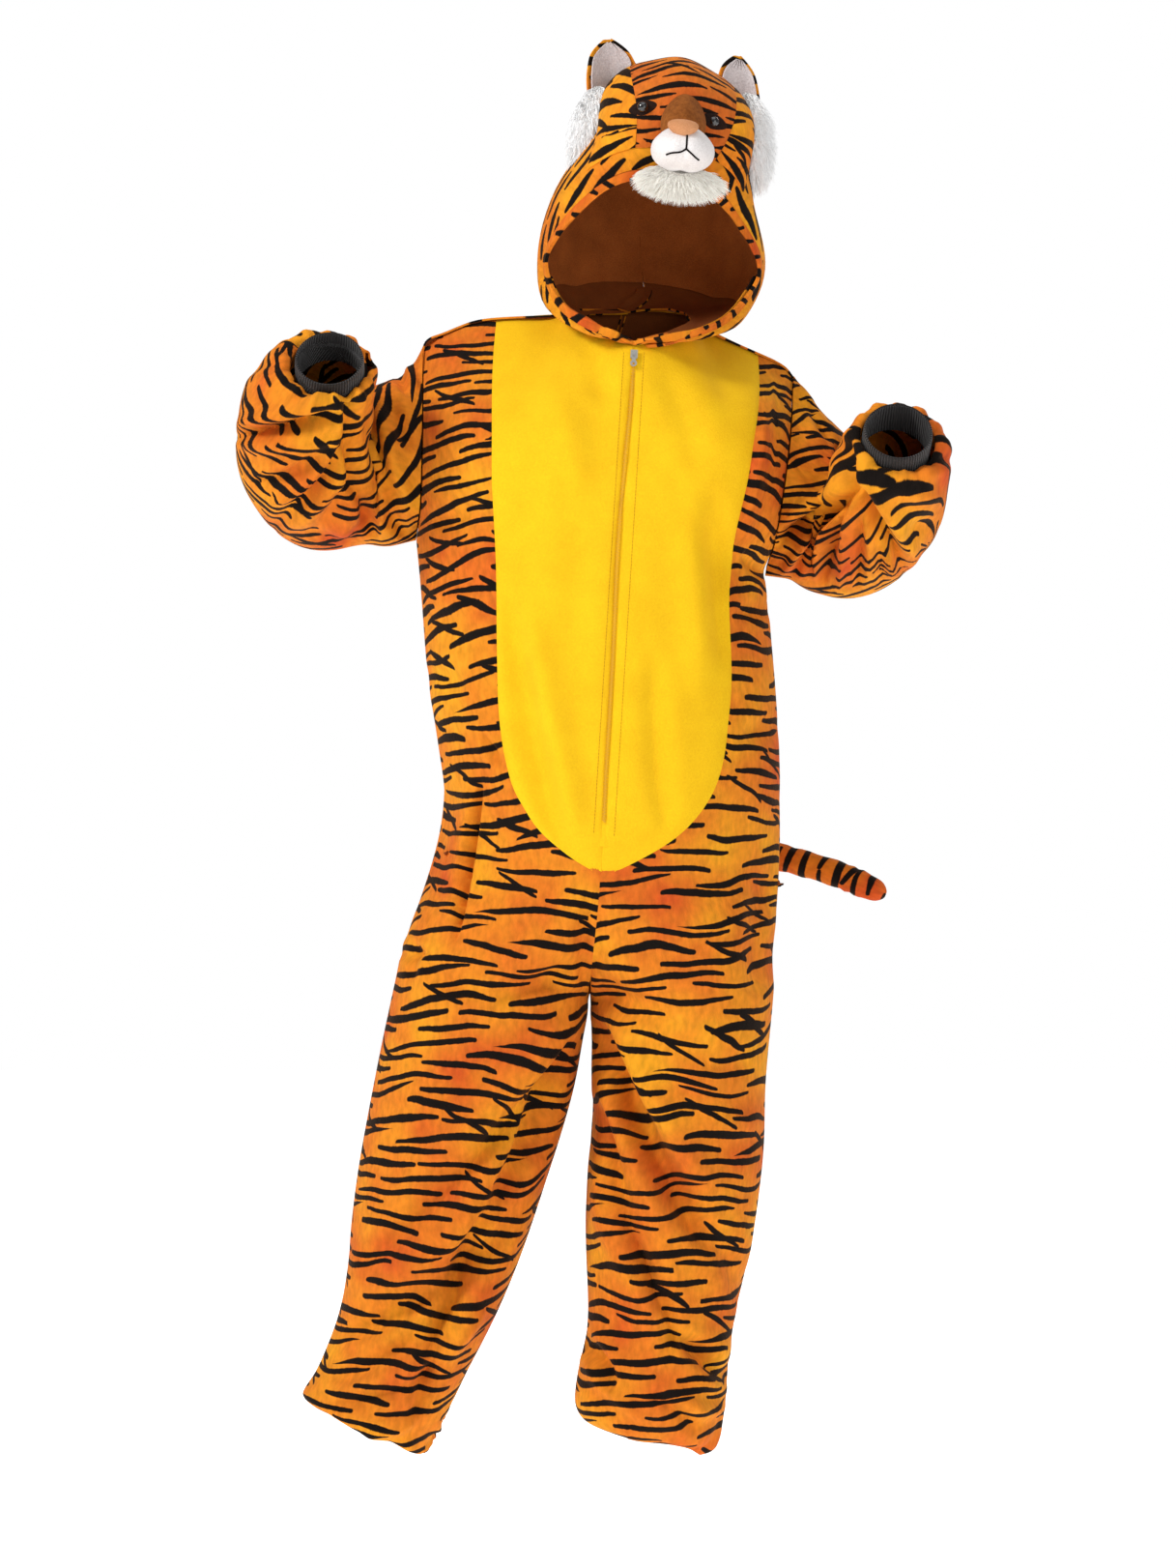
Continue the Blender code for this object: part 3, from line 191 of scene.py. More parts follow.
@dataclass(frozen=True)
class Finish:
    """A material that is made from nodes.

    Attributes:
        name: The material's name.
    """

    name: str

    def made(self) -> bpy.types.Material:
        """Returns the material of this name, built once."""
        found = bpy.data.materials.get(self.name)
        if found is not None:
            return found
        material = bpy.data.materials.new(self.name)
        material.use_nodes = True
        tree = material.node_tree
        tree.nodes.clear()
        shader = add(tree, "BsdfPrincipled", self.surface(tree))
        add(tree, "OutputMaterial", {"Surface": shader})
        return material

    def surface(self, tree: bpy.types.NodeTree) -> dict[str | int, object]:
        """Adds the nodes that lead to the shader, in each finish its own.

        Args:
            tree: The material's node tree.

        Returns:
            The shader's inputs.
        """
        raise NotImplementedError


@dataclass(frozen=True)
class TigerPlush(Finish):
    """Printed polyester velboa with a 1.5 mm pile, sheared and brushed.

    Black strokes are printed on an orange ground. The pile makes their ends soft, and light
    catches it at a glancing angle.

    Attributes:
        pitch: Distance between rows of strokes.
        length: Length of the print's cell along a row.
        half_width: Half the width of a stroke.
        shortest: Shortest half stroke as a share of the cell.
        longest: Longest half stroke as a share of the cell.
        wave: How far a row wanders up and down.
        slope: Steepest slope of a stroke across its row.
        taper: Share of the width that is gone at a stroke's end.
        forks: Share of cells that hold a crossing stroke.
        light: Colour of the lightest ground.
        middle: Colour of the usual ground.
        deep: Colour of the reddest ground.
        balance: Shift of the ground towards the deep colour.
        ink: Colour of the strokes.
    """

    pitch: float = 0.0165
    length: float = 0.150
    half_width: float = 0.0043
    shortest: float = 0.26
    longest: float = 0.490
    wave: float = 0.022
    slope: float = 0.09
    taper: float = 0.35
    forks: float = 0.30
    light: str = "#E59A1C"
    middle: str = "#DB7E1D"
    deep: str = "#C9501C"
    balance: float = 0.0
    ink: str = "#0C0502"

    def strokes(
        self, tree: bpy.types.NodeTree, known: dict[str, object], mark: str, pitch: float, length: float,
        slope: float, lean: float, share: float,
    ) -> object:
        """Draws one layer of rounded strokes, a cell for each.

        Args:
            tree: The material's node tree.
            known: Holds u and v.
            mark: Letter that keeps this layer's names apart.
            pitch: Distance between rows.
            length: Cell length along a row.
            slope: Steepest slope of a stroke.
            lean: How much the whole layer leans, as v for each u.
            share: Share of the cells that hold a stroke.

        Returns:
            The socket with the distance to the nearest stroke's edge.
        """
        known = chain(
            tree,
            dict(known),
            [
                ("tilt", "MULTIPLY", "u", lean),
                ("rise", "ADD", "v", "tilt"),
                ("rows", "DIVIDE", "rise", pitch),
                ("row", "FLOOR", "rows"),
                ("in_row", "SUBTRACT", "rows", "row"),
                ("y", "MULTIPLY_ADD", "in_row", pitch, -pitch / 2),
                ("stagger", "MULTIPLY", "row", 0.6180),
                ("along", "DIVIDE", "u", length),
                ("cells", "ADD", "along", "stagger"),
                ("cell", "FLOOR", "cells"),
                ("in_cell", "SUBTRACT", "cells", "cell"),
                ("x", "MULTIPLY_ADD", "in_cell", length, -length / 2),
            ],
        )
        seat = add(tree, "CombineXYZ", {0: known["cell"], 1: known["row"], 2: float(ord(mark))})
        luck = add(tree, "TexWhiteNoise", {"Vector": seat}, noise_dimensions="3D")
        parts = add(tree, "SeparateColor", {0: luck.outputs["Color"]})
        known["a"], known["b"], known["c"] = parts.outputs[:3]
        known["d"] = luck.outputs["Value"]
        reach = length * (self.longest - self.shortest)
        known = chain(
            tree,
            known,
            [
                ("half", "MULTIPLY_ADD", "a", reach, length * self.shortest),
                ("room", "SUBTRACT", length * 0.49, "half"),
                ("side", "MULTIPLY_ADD", "b", 2.0, -1.0),
                ("middle", "MULTIPLY", "side", "room"),
                ("from_middle", "SUBTRACT", "x", "middle"),
                ("far", "ABSOLUTE", "from_middle"),
                ("past", "SUBTRACT", "far", "half"),
                ("over", "MAXIMUM", "past", 0.0),
                ("lift", "MULTIPLY_ADD", "c", pitch * 0.34, -pitch * 0.17),
                ("turn", "MULTIPLY_ADD", "d", 2 * slope, -slope),
                ("bank", "MULTIPLY", "turn", "from_middle"),
                ("bend_in", "MULTIPLY", "from_middle", "from_middle"),
                ("bend", "MULTIPLY", "bend_in", "side"),
                ("bow", "MULTIPLY", "bend", 1.6),
                ("y1", "SUBTRACT", "y", "lift"),
                ("y2", "SUBTRACT", "y1", "bank"),
                ("y3", "ADD", "y2", "bow"),
                ("yy", "MULTIPLY", "y3", "y3"),
                ("oo", "MULTIPLY_ADD", "over", "over", "yy"),
                ("away", "SQRT", "oo"),
                ("run", "DIVIDE", "far", "half"),
                ("run2", "MULTIPLY", "run", "run"),
                ("thin", "MULTIPLY_ADD", "run2", -self.taper, 1.0),
                ("fat", "MULTIPLY_ADD", "b", 0.30, 0.84),
                ("wide", "MULTIPLY", "thin", "fat"),
                ("edge", "MULTIPLY_ADD", "wide", -self.half_width, "away"),
                ("empty", "GREATER_THAN", "a", share),
                ("out", "MULTIPLY_ADD", "empty", 1.0, "edge"),
            ],
        )
        return known["out"]

    def surface(self, tree: bpy.types.NodeTree) -> dict[str | int, object]:
        """Builds the ground, the strokes, the pile and the sheen."""
        flat = add(tree, "UVMap", uv_map=CLOTH_UV)
        sway = add(tree, "TexNoise", {"Vector": flat, "Scale": 6.5, "Detail": 1.0})
        sway_side = add(tree, "TexNoise", {"Vector": flat, "Scale": 23.0, "Detail": 1.0})
        hair = add(tree, "Mapping", {"Vector": flat, "Scale": (1400.0, 520.0, 1.0)})
        pile = add(tree, "TexNoise", {"Vector": hair, "Scale": 1.0, "Detail": 3.0})
        tuft_at = add(tree, "Mapping", {"Vector": flat, "Scale": (150.0, 75.0, 1.0)})
        tuft = add(tree, "TexNoise", {"Vector": tuft_at, "Scale": 1.0, "Detail": 4.0})
        patch = add(tree, "TexNoise", {"Vector": flat, "Scale": 8.5, "Detail": 2.5, "Roughness": 0.55})
        split = add(tree, "SeparateXYZ", {0: flat})
        known = chain(
            tree,
            {
                "u0": split.outputs[0], "v0": split.outputs[1], "sway": sway.outputs["Fac"],
                "sway2": sway_side.outputs["Fac"], "pile": pile.outputs["Fac"],
                "tuft": tuft.outputs["Fac"], "patch": patch.outputs["Fac"],
            },
            [
                ("w1", "MULTIPLY_ADD", "sway", 2 * self.wave, "v0"),
                ("w2", "MULTIPLY_ADD", "sway2", 0.007, "w1"),
                ("v", "ADD", "w2", 5.0),
                ("u", "MULTIPLY_ADD", "sway2", 0.01, "u0"),
            ],
        )
        main = self.strokes(tree, known, "m", self.pitch, self.length, self.slope, 0.0, 2.0)
        cross = self.strokes(
            tree, known, "k", self.pitch * 2.1, self.length * 0.62, self.slope * 1.5, 0.42, self.forks,
        )
        known.update({"main": main, "cross": cross})
        known = chain(
            tree,
            known,
            [
                ("near", "MINIMUM", "main", "cross"),
                ("fuzz1", "MULTIPLY_ADD", "pile", 0.0011, "near"),
                ("fuzz2", "MULTIPLY_ADD", "tuft", 0.0016, "fuzz1"),
                ("edge", "SUBTRACT", "fuzz2", 0.0013),
            ],
        )
        ink = add(
            tree,
            "MapRange",
            {
                "Value": known["edge"], "From Min": 0.00055, "From Max": -0.0006, "To Min": 0.0,
                "To Max": 1.0,
            },
            interpolation_type="SMOOTHSTEP",
        )
        ground = add(
            tree,
            "MapRange",
            {"Value": known["patch"], "From Min": 0.30 - self.balance, "From Max": 0.72 - self.balance},
        )
        ramp = add(tree, "ValToRGB", {0: ground})
        ramp.color_ramp.elements[0].color = linear(self.light)
        ramp.color_ramp.elements[1].color = linear(self.deep)
        ramp.color_ramp.elements.new(0.45).color = linear(self.middle)
        grain = add(
            tree,
            "MapRange",
            {"Value": known["tuft"], "From Min": 0.25, "From Max": 0.75, "To Min": 0.78, "To Max": 1.16},
        )
        toned = add(tree, "HueSaturation", {"Value": grain, "Color": ramp.outputs[0]})
        colour = add(tree, "Mix", {"Factor": ink, 6: toned, 7: linear(self.ink)}, data_type="RGBA")
        high = add(tree, "Math", {0: known["tuft"], 1: 1.4, 2: known["pile"]}, operation="MULTIPLY_ADD")
        bump = add(tree, "Bump", {"Strength": 0.55, "Distance": 0.0011, "Height": high})
        return {
            "Base Color": colour.outputs[2], "Roughness": 0.92, "Specular IOR Level": 0.18,
            "Sheen Weight": 0.08, "Sheen Roughness": 0.42, "Sheen Tint": linear("#F2A55A"),
            "Normal": bump,
        }


@dataclass(frozen=True)
class Fleece(Finish):
    """Anti-pill polyester fleece, knitted and brushed.

    It is matt, with soft matted fibre that breaks up the light at about a millimetre.

    Attributes:
        colour: The dyed colour.
        shade: The colour where the nap lies the other way.
        scale: Clumps of fibre for each metre.
        sheen: How much light the fibre ends catch.
        height: How high the nap stands.
    """

    colour: str = "#F1C214"
    shade: str = "#E5AF0E"
    scale: float = 420.0
    sheen: float = 0.12
    height: float = 0.0009

    def surface(self, tree: bpy.types.NodeTree) -> dict[str | int, object]:
        """Builds the nap, its two tones and the sheen."""
        place = add(tree, "TexCoord")
        nap = add(
            tree,
            "TexNoise",
            {"Vector": place.outputs["Object"], "Scale": self.scale, "Detail": 5.0, "Roughness": 0.65},
        )
        cloud = add(tree, "TexNoise", {"Vector": place.outputs["Object"], "Scale": 26.0, "Detail": 3.0})
        both = add(tree, "Math", {0: cloud, 1: 0.6, 2: nap}, operation="MULTIPLY_ADD")
        tone = add(tree, "MapRange", {"Value": both, "From Min": 0.55, "From Max": 1.05})
        colour = add(
            tree, "Mix", {"Factor": tone, 6: linear(self.shade), 7: linear(self.colour)},
            data_type="RGBA",
        )
        bump = add(tree, "Bump", {"Strength": 0.6, "Distance": self.height, "Height": nap})
        return {
            "Base Color": colour.outputs[2], "Roughness": 0.93, "Specular IOR Level": 0.2,
            "Sheen Weight": self.sheen, "Sheen Roughness": 0.5, "Sheen Tint": linear(self.colour),
            "Normal": bump,
        }


@dataclass(frozen=True)
class Paper(Finish):
    """Pale studio paper, lit from below so that it ends in a white background.

    Attributes:
        colour: Its colour.
        glow: Strength of the light through it.
    """

    colour: str = "#F2F2F2"
    glow: float = 0.78

    def surface(self, tree: bpy.types.NodeTree) -> dict[str | int, object]:
        """Builds the even, matt surface."""
        return {
            "Base Color": linear(self.colour), "Roughness": 0.95, "Specular IOR Level": 0.1,
            "Emission Color": (1.0, 1.0, 1.0, 1.0), "Emission Strength": self.glow,
        }


@dataclass(frozen=True)
class LongPile(Finish):
    """Long-pile acrylic fur, each hair creamier at its root or tip, and darker at the root with painted
    shade.

    Its own UV map runs along each hair, so the colour follows the hair. A little emission
    stands for the light that white hairs pass on to each other.

    Attributes:
        root: Colour at the root, darkened with painted shade.
        tip: Colour at the tip.
    """

    root: str = "#B9AC9E"
    tip: str = "#F1ECE6"

    def surface(self, tree: bpy.types.NodeTree) -> dict[str | int, object]:
        """Builds the colour along the hair and a soft gloss."""
        flat = add(tree, "UVMap", uv_map=CLOTH_UV)
        split = add(tree, "SeparateXYZ", {0: flat})
        # Painted shade: the colour darkens from the tip down to the root, where the hairs shade each other.
        ramp = add(tree, "ValToRGB", {0: split.outputs[1]})
        ramp.color_ramp.elements[0].color = linear(self.root)
        ramp.color_ramp.elements[1].color = linear(self.tip)
        ramp.color_ramp.elements[1].position = 0.55
        tint = add(tree, "MapRange", {"Value": split.outputs[0], "To Min": 0.82, "To Max": 1.05})
        toned = add(tree, "HueSaturation", {"Value": tint, "Color": ramp.outputs[0]})
        return {
            "Base Color": toned, "Roughness": 0.6, "Specular IOR Level": 0.3, "Sheen Weight": 0.5,
            "Sheen Roughness": 0.4, "Emission Color": linear(self.tip), "Emission Strength": 0.07,
        }


@dataclass(frozen=True)
class RibKnit(Finish):
    """Cotton and elastane rib knit, ribs running along the arm.

    The ribs shade each other, and the yarn is slightly fuzzy.

    Attributes:
        colour: The yarn's colour.
        pitch: Distance between ribs around the tube.
    """

    colour: str = "#17110F"
    pitch: float = 0.0035

    def surface(self, tree: bpy.types.NodeTree) -> dict[str | int, object]:
        """Builds the ribs from the cloth's own map."""
        flat = add(tree, "UVMap", uv_map=CLOTH_UV)
        split = add(tree, "SeparateXYZ", {0: flat})
        known = chain(
            tree,
            {"u": split.outputs[0], "v": split.outputs[1]},
            [
                ("turns", "MULTIPLY", "u", 2 * math.pi / self.pitch),
                ("wave", "SINE", "turns"),
                ("stitch", "MULTIPLY", "v", 2 * math.pi / 0.0022),
                ("loops", "SINE", "stitch"),
                ("high", "MULTIPLY_ADD", "loops", 0.15, "wave"),
            ],
        )
        # Painted shade and light: the colour darkens in the grooves between ribs and lightens on their
        # crests.
        tone = add(
            tree, "MapRange", {"Value": known["wave"], "From Min": -1.0, "To Min": 0.45, "To Max": 1.5},
        )
        colour = add(tree, "HueSaturation", {"Value": tone, "Color": linear(self.colour)})
        bump = add(tree, "Bump", {"Strength": 0.9, "Distance": 0.0006, "Height": known["high"]})
        return {
            "Base Color": colour, "Roughness": 0.85, "Specular IOR Level": 0.25, "Sheen Weight": 0.2,
            "Sheen Roughness": 0.5, "Normal": bump,
        }


@dataclass(frozen=True)
class Gloss(Finish):
    """A hard finish, such as moulded acrylic or plated zinc.

    Attributes:
        colour: Base colour.
        roughness: Roughness of the surface.
        metallic: One for metal, nought for plastic.
        coat: Weight of a clear coat.
        scuff: How uneven the roughness is, from wear.
    """

    colour: str = "#0A0706"
    roughness: float = 0.08
    metallic: float = 0.0
    coat: float = 1.0
    scuff: float = 0.08

    def surface(self, tree: bpy.types.NodeTree) -> dict[str | int, object]:
        """Builds the shine with fine wear in its roughness."""
        place = add(tree, "TexCoord")
        worn = add(tree, "TexNoise", {"Vector": place.outputs["Object"], "Scale": 900.0, "Detail": 3.0})
        rough = add(
            tree,
            "MapRange",
            {"Value": worn, "To Min": self.roughness, "To Max": self.roughness + self.scuff},
        )
        return {
            "Base Color": linear(self.colour), "Metallic": self.metallic, "Roughness": rough,
            "Coat Weight": self.coat, "Coat Roughness": 0.05,
        }


PLUSH = TigerPlush("printed_velboa_tiger")
PLUSH_SLEEVE = TigerPlush(
    "printed_velboa_tiger_sleeve", pitch=0.0175, length=0.125, wave=0.030, slope=0.14
)
PLUSH_HOOD = TigerPlush(
    "printed_velboa_tiger_hood", pitch=0.0200, length=0.080, half_width=0.0050, taper=0.55, balance=-0.06,
)
PLUSH_FACE = TigerPlush(
    "printed_velboa_tiger_face_centre", pitch=0.0135, length=0.090, half_width=0.0037, shortest=0.36,
    wave=0.006, slope=0.08, taper=0.70, forks=0.2, light="#DC8426", middle="#CF6C22", deep="#BE511F",
)
PLUSH_CHEEK = TigerPlush(
    "printed_velboa_tiger_face_side", pitch=0.0160, length=0.085, half_width=0.0047, shortest=0.38,
    wave=0.008, slope=0.14, taper=0.65, forks=0.3, light="#EBA01E", middle="#E3871C", deep="#D2601E",
)
PLUSH_TAIL = TigerPlush(
    "printed_velboa_tiger_tail", pitch=0.0215, length=0.115, half_width=0.0046, shortest=0.34, wave=0.004,
    slope=0.05, forks=0.1, balance=0.1,
)
PLUSH_BAND = TigerPlush(
    "printed_velboa_tiger_casing", pitch=0.0225, length=0.060, half_width=0.0042, shortest=0.33,
    wave=0.002, slope=0.25, forks=0.0, balance=0.1,
)
BACKING = Fleece(
    "knitted_backing_orange", colour="#8E4A1C", shade="#6E3613", scale=900.0, sheen=0.05, height=0.0003
)
BELLY_FLEECE = Fleece("polyester_fleece_yellow")
LINING_JERSEY = Fleece(
    "brushed_tricot_brown", colour="#C06A2C", shade="#8E4B1C", scale=700.0, sheen=0.15, height=0.0004
)
EAR_PLUSH = Fleece(
    "minky_plush_white", colour="#E9E1E0", shade="#B5A7A6", scale=520.0, sheen=0.4, height=0.0010
)
MUZZLE_PLUSH = Fleece(
    "minky_plush_white_muzzle", colour="#F0ECEA", shade="#CFC8C6", scale=600.0, sheen=0.4, height=0.0008
)
BRIDGE_PLUSH = Fleece(
    "minky_plush_brown", colour="#9C5A22", shade="#6E3A12", scale=240.0, sheen=0.1, height=0.0009
)
NOSE_PLUSH = Fleece(
    "minky_plush_peach", colour="#D69C70", shade="#B87A4E", scale=800.0, sheen=0.1, height=0.0004
)
EYE_PATCH = Fleece(
    "minky_plush_dark", colour="#2A150B", shade="#120906", scale=500.0, sheen=0.2, height=0.0008
)
FUR_WHITE = LongPile("long_pile_acrylic_white", root="#CFC8C0", tip="#FFFFFF")
FUR_CHIN = LongPile("long_pile_acrylic_cream", root="#CBC2B5", tip="#FFFCF4")
RIB_BLACK = RibKnit("rib_knit_black")
EYE_ACRYLIC = Gloss("moulded_acrylic_black")
ZIP_PLATED = Gloss(
    "zinc_nickel_plated", colour="#C9C6C0", roughness=0.22, metallic=1.0, coat=0.0, scuff=0.16
)
ZIP_NYLON = Gloss("nylon_coil_yellow", colour="#D9A21A", roughness=0.45, coat=0.0, scuff=0.1)
THREAD_YELLOW = Fleece(
    "spun_polyester_thread_yellow", colour="#C98A12", shade="#9A660C", scale=2500.0, sheen=0.1, height=0.0001
)
THREAD_BLACK = Fleece(
    "spun_polyester_thread_black", colour="#1A1210", shade="#0B0706", scale=2500.0, sheen=0.1, height=0.0001
)


# Making cloth


@dataclass(frozen=True)
class Crease:
    """One soft fold, a trough or a ridge, seen from the front or the back.

    Attributes:
        start: Its first end, as x and z.
        end: Its last end, as x and z.
        half_width: Half the fold's width.
        height: How far it stands out, or sinks if below nought.
        bow: How far its middle lies to the left of the line between its ends.
        step: Share of it that is a step down to the right, as where cloth folds over.
        side: The side of the costume that it lies on.
    """

    start: tuple[float, float]
    end: tuple[float, float]
    half_width: float
    height: float
    bow: float = 0.0
    step: float = 0.0
    side: Side = Side.FRONT

    def raised(self, points: np.ndarray, normals: np.ndarray) -> np.ndarray:
        """How far this fold moves each point along its normal.

        Args:
            points: Points of the cloth.
            normals: The cloth's normals there.

        Returns:
            One height for each point.
        """
        a = np.array(self.start)
        b = np.array(self.end)
        line = b - a
        long = float(np.hypot(*line))
        along = line / long
        across = np.array([-along[1], along[0]])
        flat = points[:, [0, 2]] - a
        t = np.clip((flat @ along) / long, -0.3, 1.3)
        off = flat @ across - self.bow * 4 * t * (1 - t)
        ends = np.clip(1 - np.abs(2 * t - 1) ** 3, 0, 1) ** 0.8
        width = self.half_width * (0.55 + 0.45 * ends)
        even = np.exp(-((off / width) ** 2)) - 0.22 * np.exp(
            -(((np.abs(off) - 1.9 * width) / width) ** 2)
        )
        lapped = 1.9 * (off / width) * np.exp(-((off / width) ** 2))
        shape = (1 - self.step) * even + self.step * lapped
        facing = np.clip(0.25 + 1.2 * normals[:, 1] * self.side.value, 0, 1)
        inside = (t > -0.29) & (t < 1.29)
        return self.height * shape * ends * facing * inside


def folds(side: Side, *rows: Sequence[float]) -> tuple[Crease, ...]:
    """Reads folds from the rows of a table.

    Args:
        side: The side of the costume that they lie on.
        *rows: For each fold x and z of its start, x and z of its end, half its width, its
            height, its bow and its step.

    Returns:
        The folds.
    """
    return tuple(Crease(tuple(row[:2]), tuple(row[2:4]), *row[4:], side) for row in rows)


# Folds: start x and z, end x and z, half width, height, bow, step

FRONT_RIGHT_CREASES = folds(
    Side.FRONT,
    (-0.07, -0.862, -0.335, -1.145, 0.02, -0.011, 0.012, 0.45),
    (-0.055, -0.835, -0.25, -1.02, 0.017, 0.007, 0.01, 0),
    (-0.066, -0.868, -0.168, -1.075, 0.013, -0.008, 0.01, -0.4),
    (-0.168, -1.06, -0.262, -1.345, 0.012, -0.006, -0.006, -0.4),
    (-0.14, -1.085, -0.35, -1.235, 0.016, -0.009, 0.01, 0.5),
    (-0.16, -1.055, -0.33, -1.185, 0.013, 0.006, 0.008, 0),
    (-0.185, -1.15, -0.365, -1.29, 0.014, -0.007, 0.014, 0.4),
    (-0.175, -1.2, -0.3, -1.3, 0.012, 0.005, 0.006, 0),
    (-0.23, -1.268, -0.372, -1.322, 0.01, -0.005, 0.008, 0),
    (-0.25, -1.33, -0.352, -1.362, 0.008, 0.004, 0.006, 0),
    (-0.18, -0.556, -0.212, -0.752, 0.0045, -0.0045, 0.002, -0.5),
    (-0.193, -0.545, -0.225, -0.74, 0.012, 0.003, 0.002, 0),
    (-0.285, -0.772, -0.245, -0.764, 0.007, -0.004, 0.002, 0),
    (-0.262, -0.748, -0.268, -0.8, 0.007, -0.004, 0, 0),
    (-0.252, -0.785, -0.17, -0.815, 0.012, -0.004, -0.004, 0),
    (-0.18, -0.5, -0.15, -0.54, 0.006, -0.004, 0, 0),
    (-0.24, -0.24, -0.18, -0.215, 0.014, -0.003, -0.004, 0),
    (-0.25, -0.33, -0.19, -0.345, 0.016, 0.003, 0.004, 0),
    (-0.255, -0.42, -0.2, -0.445, 0.015, -0.003, 0.004, 0),
    (-0.048, -0.7, -0.052, -0.81, 0.012, -0.005, 0, 0),
    (-0.06, -0.77, -0.17, -0.83, 0.013, -0.005, 0.006, 0),
    (-0.065, -0.745, -0.2, -0.778, 0.014, 0.003, 0.006, 0),
)
FRONT_LEFT_CREASES = folds(
    Side.FRONT,
    (-0.04, -0.848, 0.105, -1.13, 0.016, -0.01, -0.008, -0.5),
    (-0.015, -0.845, 0.11, -1.06, 0.016, 0.006, -0.008, 0),
    (-0.04, -0.94, 0.055, -1.215, 0.014, -0.009, -0.01, -0.5),
    (-0.03, -1.0, 0.03, -1.15, 0.01, 0.005, -0.006, 0),
    (0.05, -1.19, 0.05, -1.265, 0.009, -0.005, 0, 0),
    (0.045, -1.225, 0.135, -1.3, 0.011, -0.007, 0.006, -0.3),
    (0.1, -1.1, 0.15, -1.215, 0.014, -0.004, 0.006, 0),
    (-0.06, -1.235, -0.018, -1.3, 0.01, -0.007, 0.004, -0.3),
    (-0.05, -1.265, 0.02, -1.335, 0.01, 0.004, -0.004, 0),
    (0.02, -1.3, 0.085, -1.35, 0.01, -0.005, 0.005, 0),
    (0.06, -1.31, 0.12, -1.33, 0.009, 0.004, -0.004, 0),
    (0.165, -0.67, 0.158, -0.82, 0.018, -0.004, 0, 0),
    (-0.045, -0.8, 0.06, -0.85, 0.014, -0.005, -0.006, 0),
    (-0.04, -0.762, 0.08, -0.8, 0.015, 0.003, -0.006, 0),
    (-0.042, -0.7, -0.046, -0.79, 0.012, -0.004, 0, 0),
    (0.04, -0.87, 0.15, -0.905, 0.018, -0.003, -0.004, 0),
    (0.05, -0.96, 0.165, -0.975, 0.016, 0.003, -0.003, 0),
    (0.185, -0.335, 0.13, -0.35, 0.01, -0.003, 0.003, 0),
    (0.18, -0.3, 0.14, -0.275, 0.009, -0.005, 0.002, 0.3),
    (0.165, -0.11, 0.14, -0.26, 0.012, 0.003, 0, 0),
    (0.185, -0.48, 0.14, -0.5, 0.014, -0.003, 0.003, 0),
)
BACK_RIGHT_CREASES = folds(
    Side.BACK,
    (-0.075, -0.845, -0.29, -1.01, 0.018, -0.009, 0.012, 0.4),
    (-0.07, -0.815, -0.25, -0.925, 0.017, 0.005, 0.01, 0),
    (-0.11, -0.94, -0.32, -1.125, 0.016, -0.008, 0.014, 0.4),
    (-0.15, -1.06, -0.335, -1.18, 0.015, -0.007, 0.01, 0),
    (-0.18, -1.14, -0.355, -1.265, 0.014, -0.007, 0.01, 0.4),
    (-0.22, -1.245, -0.365, -1.32, 0.011, -0.005, 0.008, 0),
    (-0.235, -0.18, -0.06, -0.25, 0.02, -0.005, -0.01, 0),
    (-0.245, -0.285, -0.08, -0.33, 0.018, 0.004, -0.008, 0),
    (-0.235, -0.42, -0.06, -0.455, 0.02, -0.005, 0.008, 0),
    (-0.22, -0.5, -0.05, -0.52, 0.018, 0.004, 0.006, 0),
    (-0.06, -0.64, -0.19, -0.76, 0.02, -0.006, 0.01, 0),
)
BACK_LEFT_CREASES = folds(
    Side.BACK,
    (-0.03, -0.85, 0.13, -1.06, 0.018, -0.009, -0.01, -0.4),
    (-0.02, -0.815, 0.13, -0.94, 0.017, 0.005, -0.01, 0),
    (-0.03, -0.96, 0.105, -1.17, 0.015, -0.008, -0.008, -0.4),
    (-0.01, -1.1, 0.125, -1.235, 0.014, -0.006, -0.006, 0),
    (-0.04, -1.22, 0.09, -1.31, 0.013, -0.006, 0.006, 0),
    (0.19, -0.19, 0.04, -0.25, 0.02, -0.005, 0.01, 0),
    (0.18, -0.33, 0.03, -0.365, 0.018, 0.004, 0.008, 0),
    (0.175, -0.445, 0.01, -0.475, 0.02, -0.005, -0.008, 0),
    (-0.03, -0.65, 0.12, -0.75, 0.02, -0.006, -0.01, 0),
)
BELLY_RIGHT_CREASES = folds(
    Side.FRONT,
    (-0.15, -0.33, -0.085, -0.64, 0.016, -0.0055, -0.004, 0),
    (-0.12, -0.35, -0.06, -0.62, 0.018, 0.004, -0.004, 0),
    (-0.11, -0.05, -0.06, -0.2, 0.022, 0.003, 0.006, 0),
    (-0.06, -0.24, -0.075, -0.42, 0.02, -0.0025, 0.005, 0),
    (-0.05, -0.02, -0.02, -0.1, 0.012, -0.003, -0.004, 0),
)
BELLY_LEFT_CREASES = folds(
    Side.FRONT,
    (0.1, -0.2, 0.118, -0.42, 0.016, -0.004, 0.004, 0),
    (0.07, -0.24, 0.085, -0.45, 0.018, 0.003, 0.004, 0),
    (0.03, -0.4, 0.045, -0.62, 0.014, -0.0035, -0.004, 0),
    (0.04, -0.045, 0.085, -0.18, 0.018, -0.0025, 0.006, 0),
)
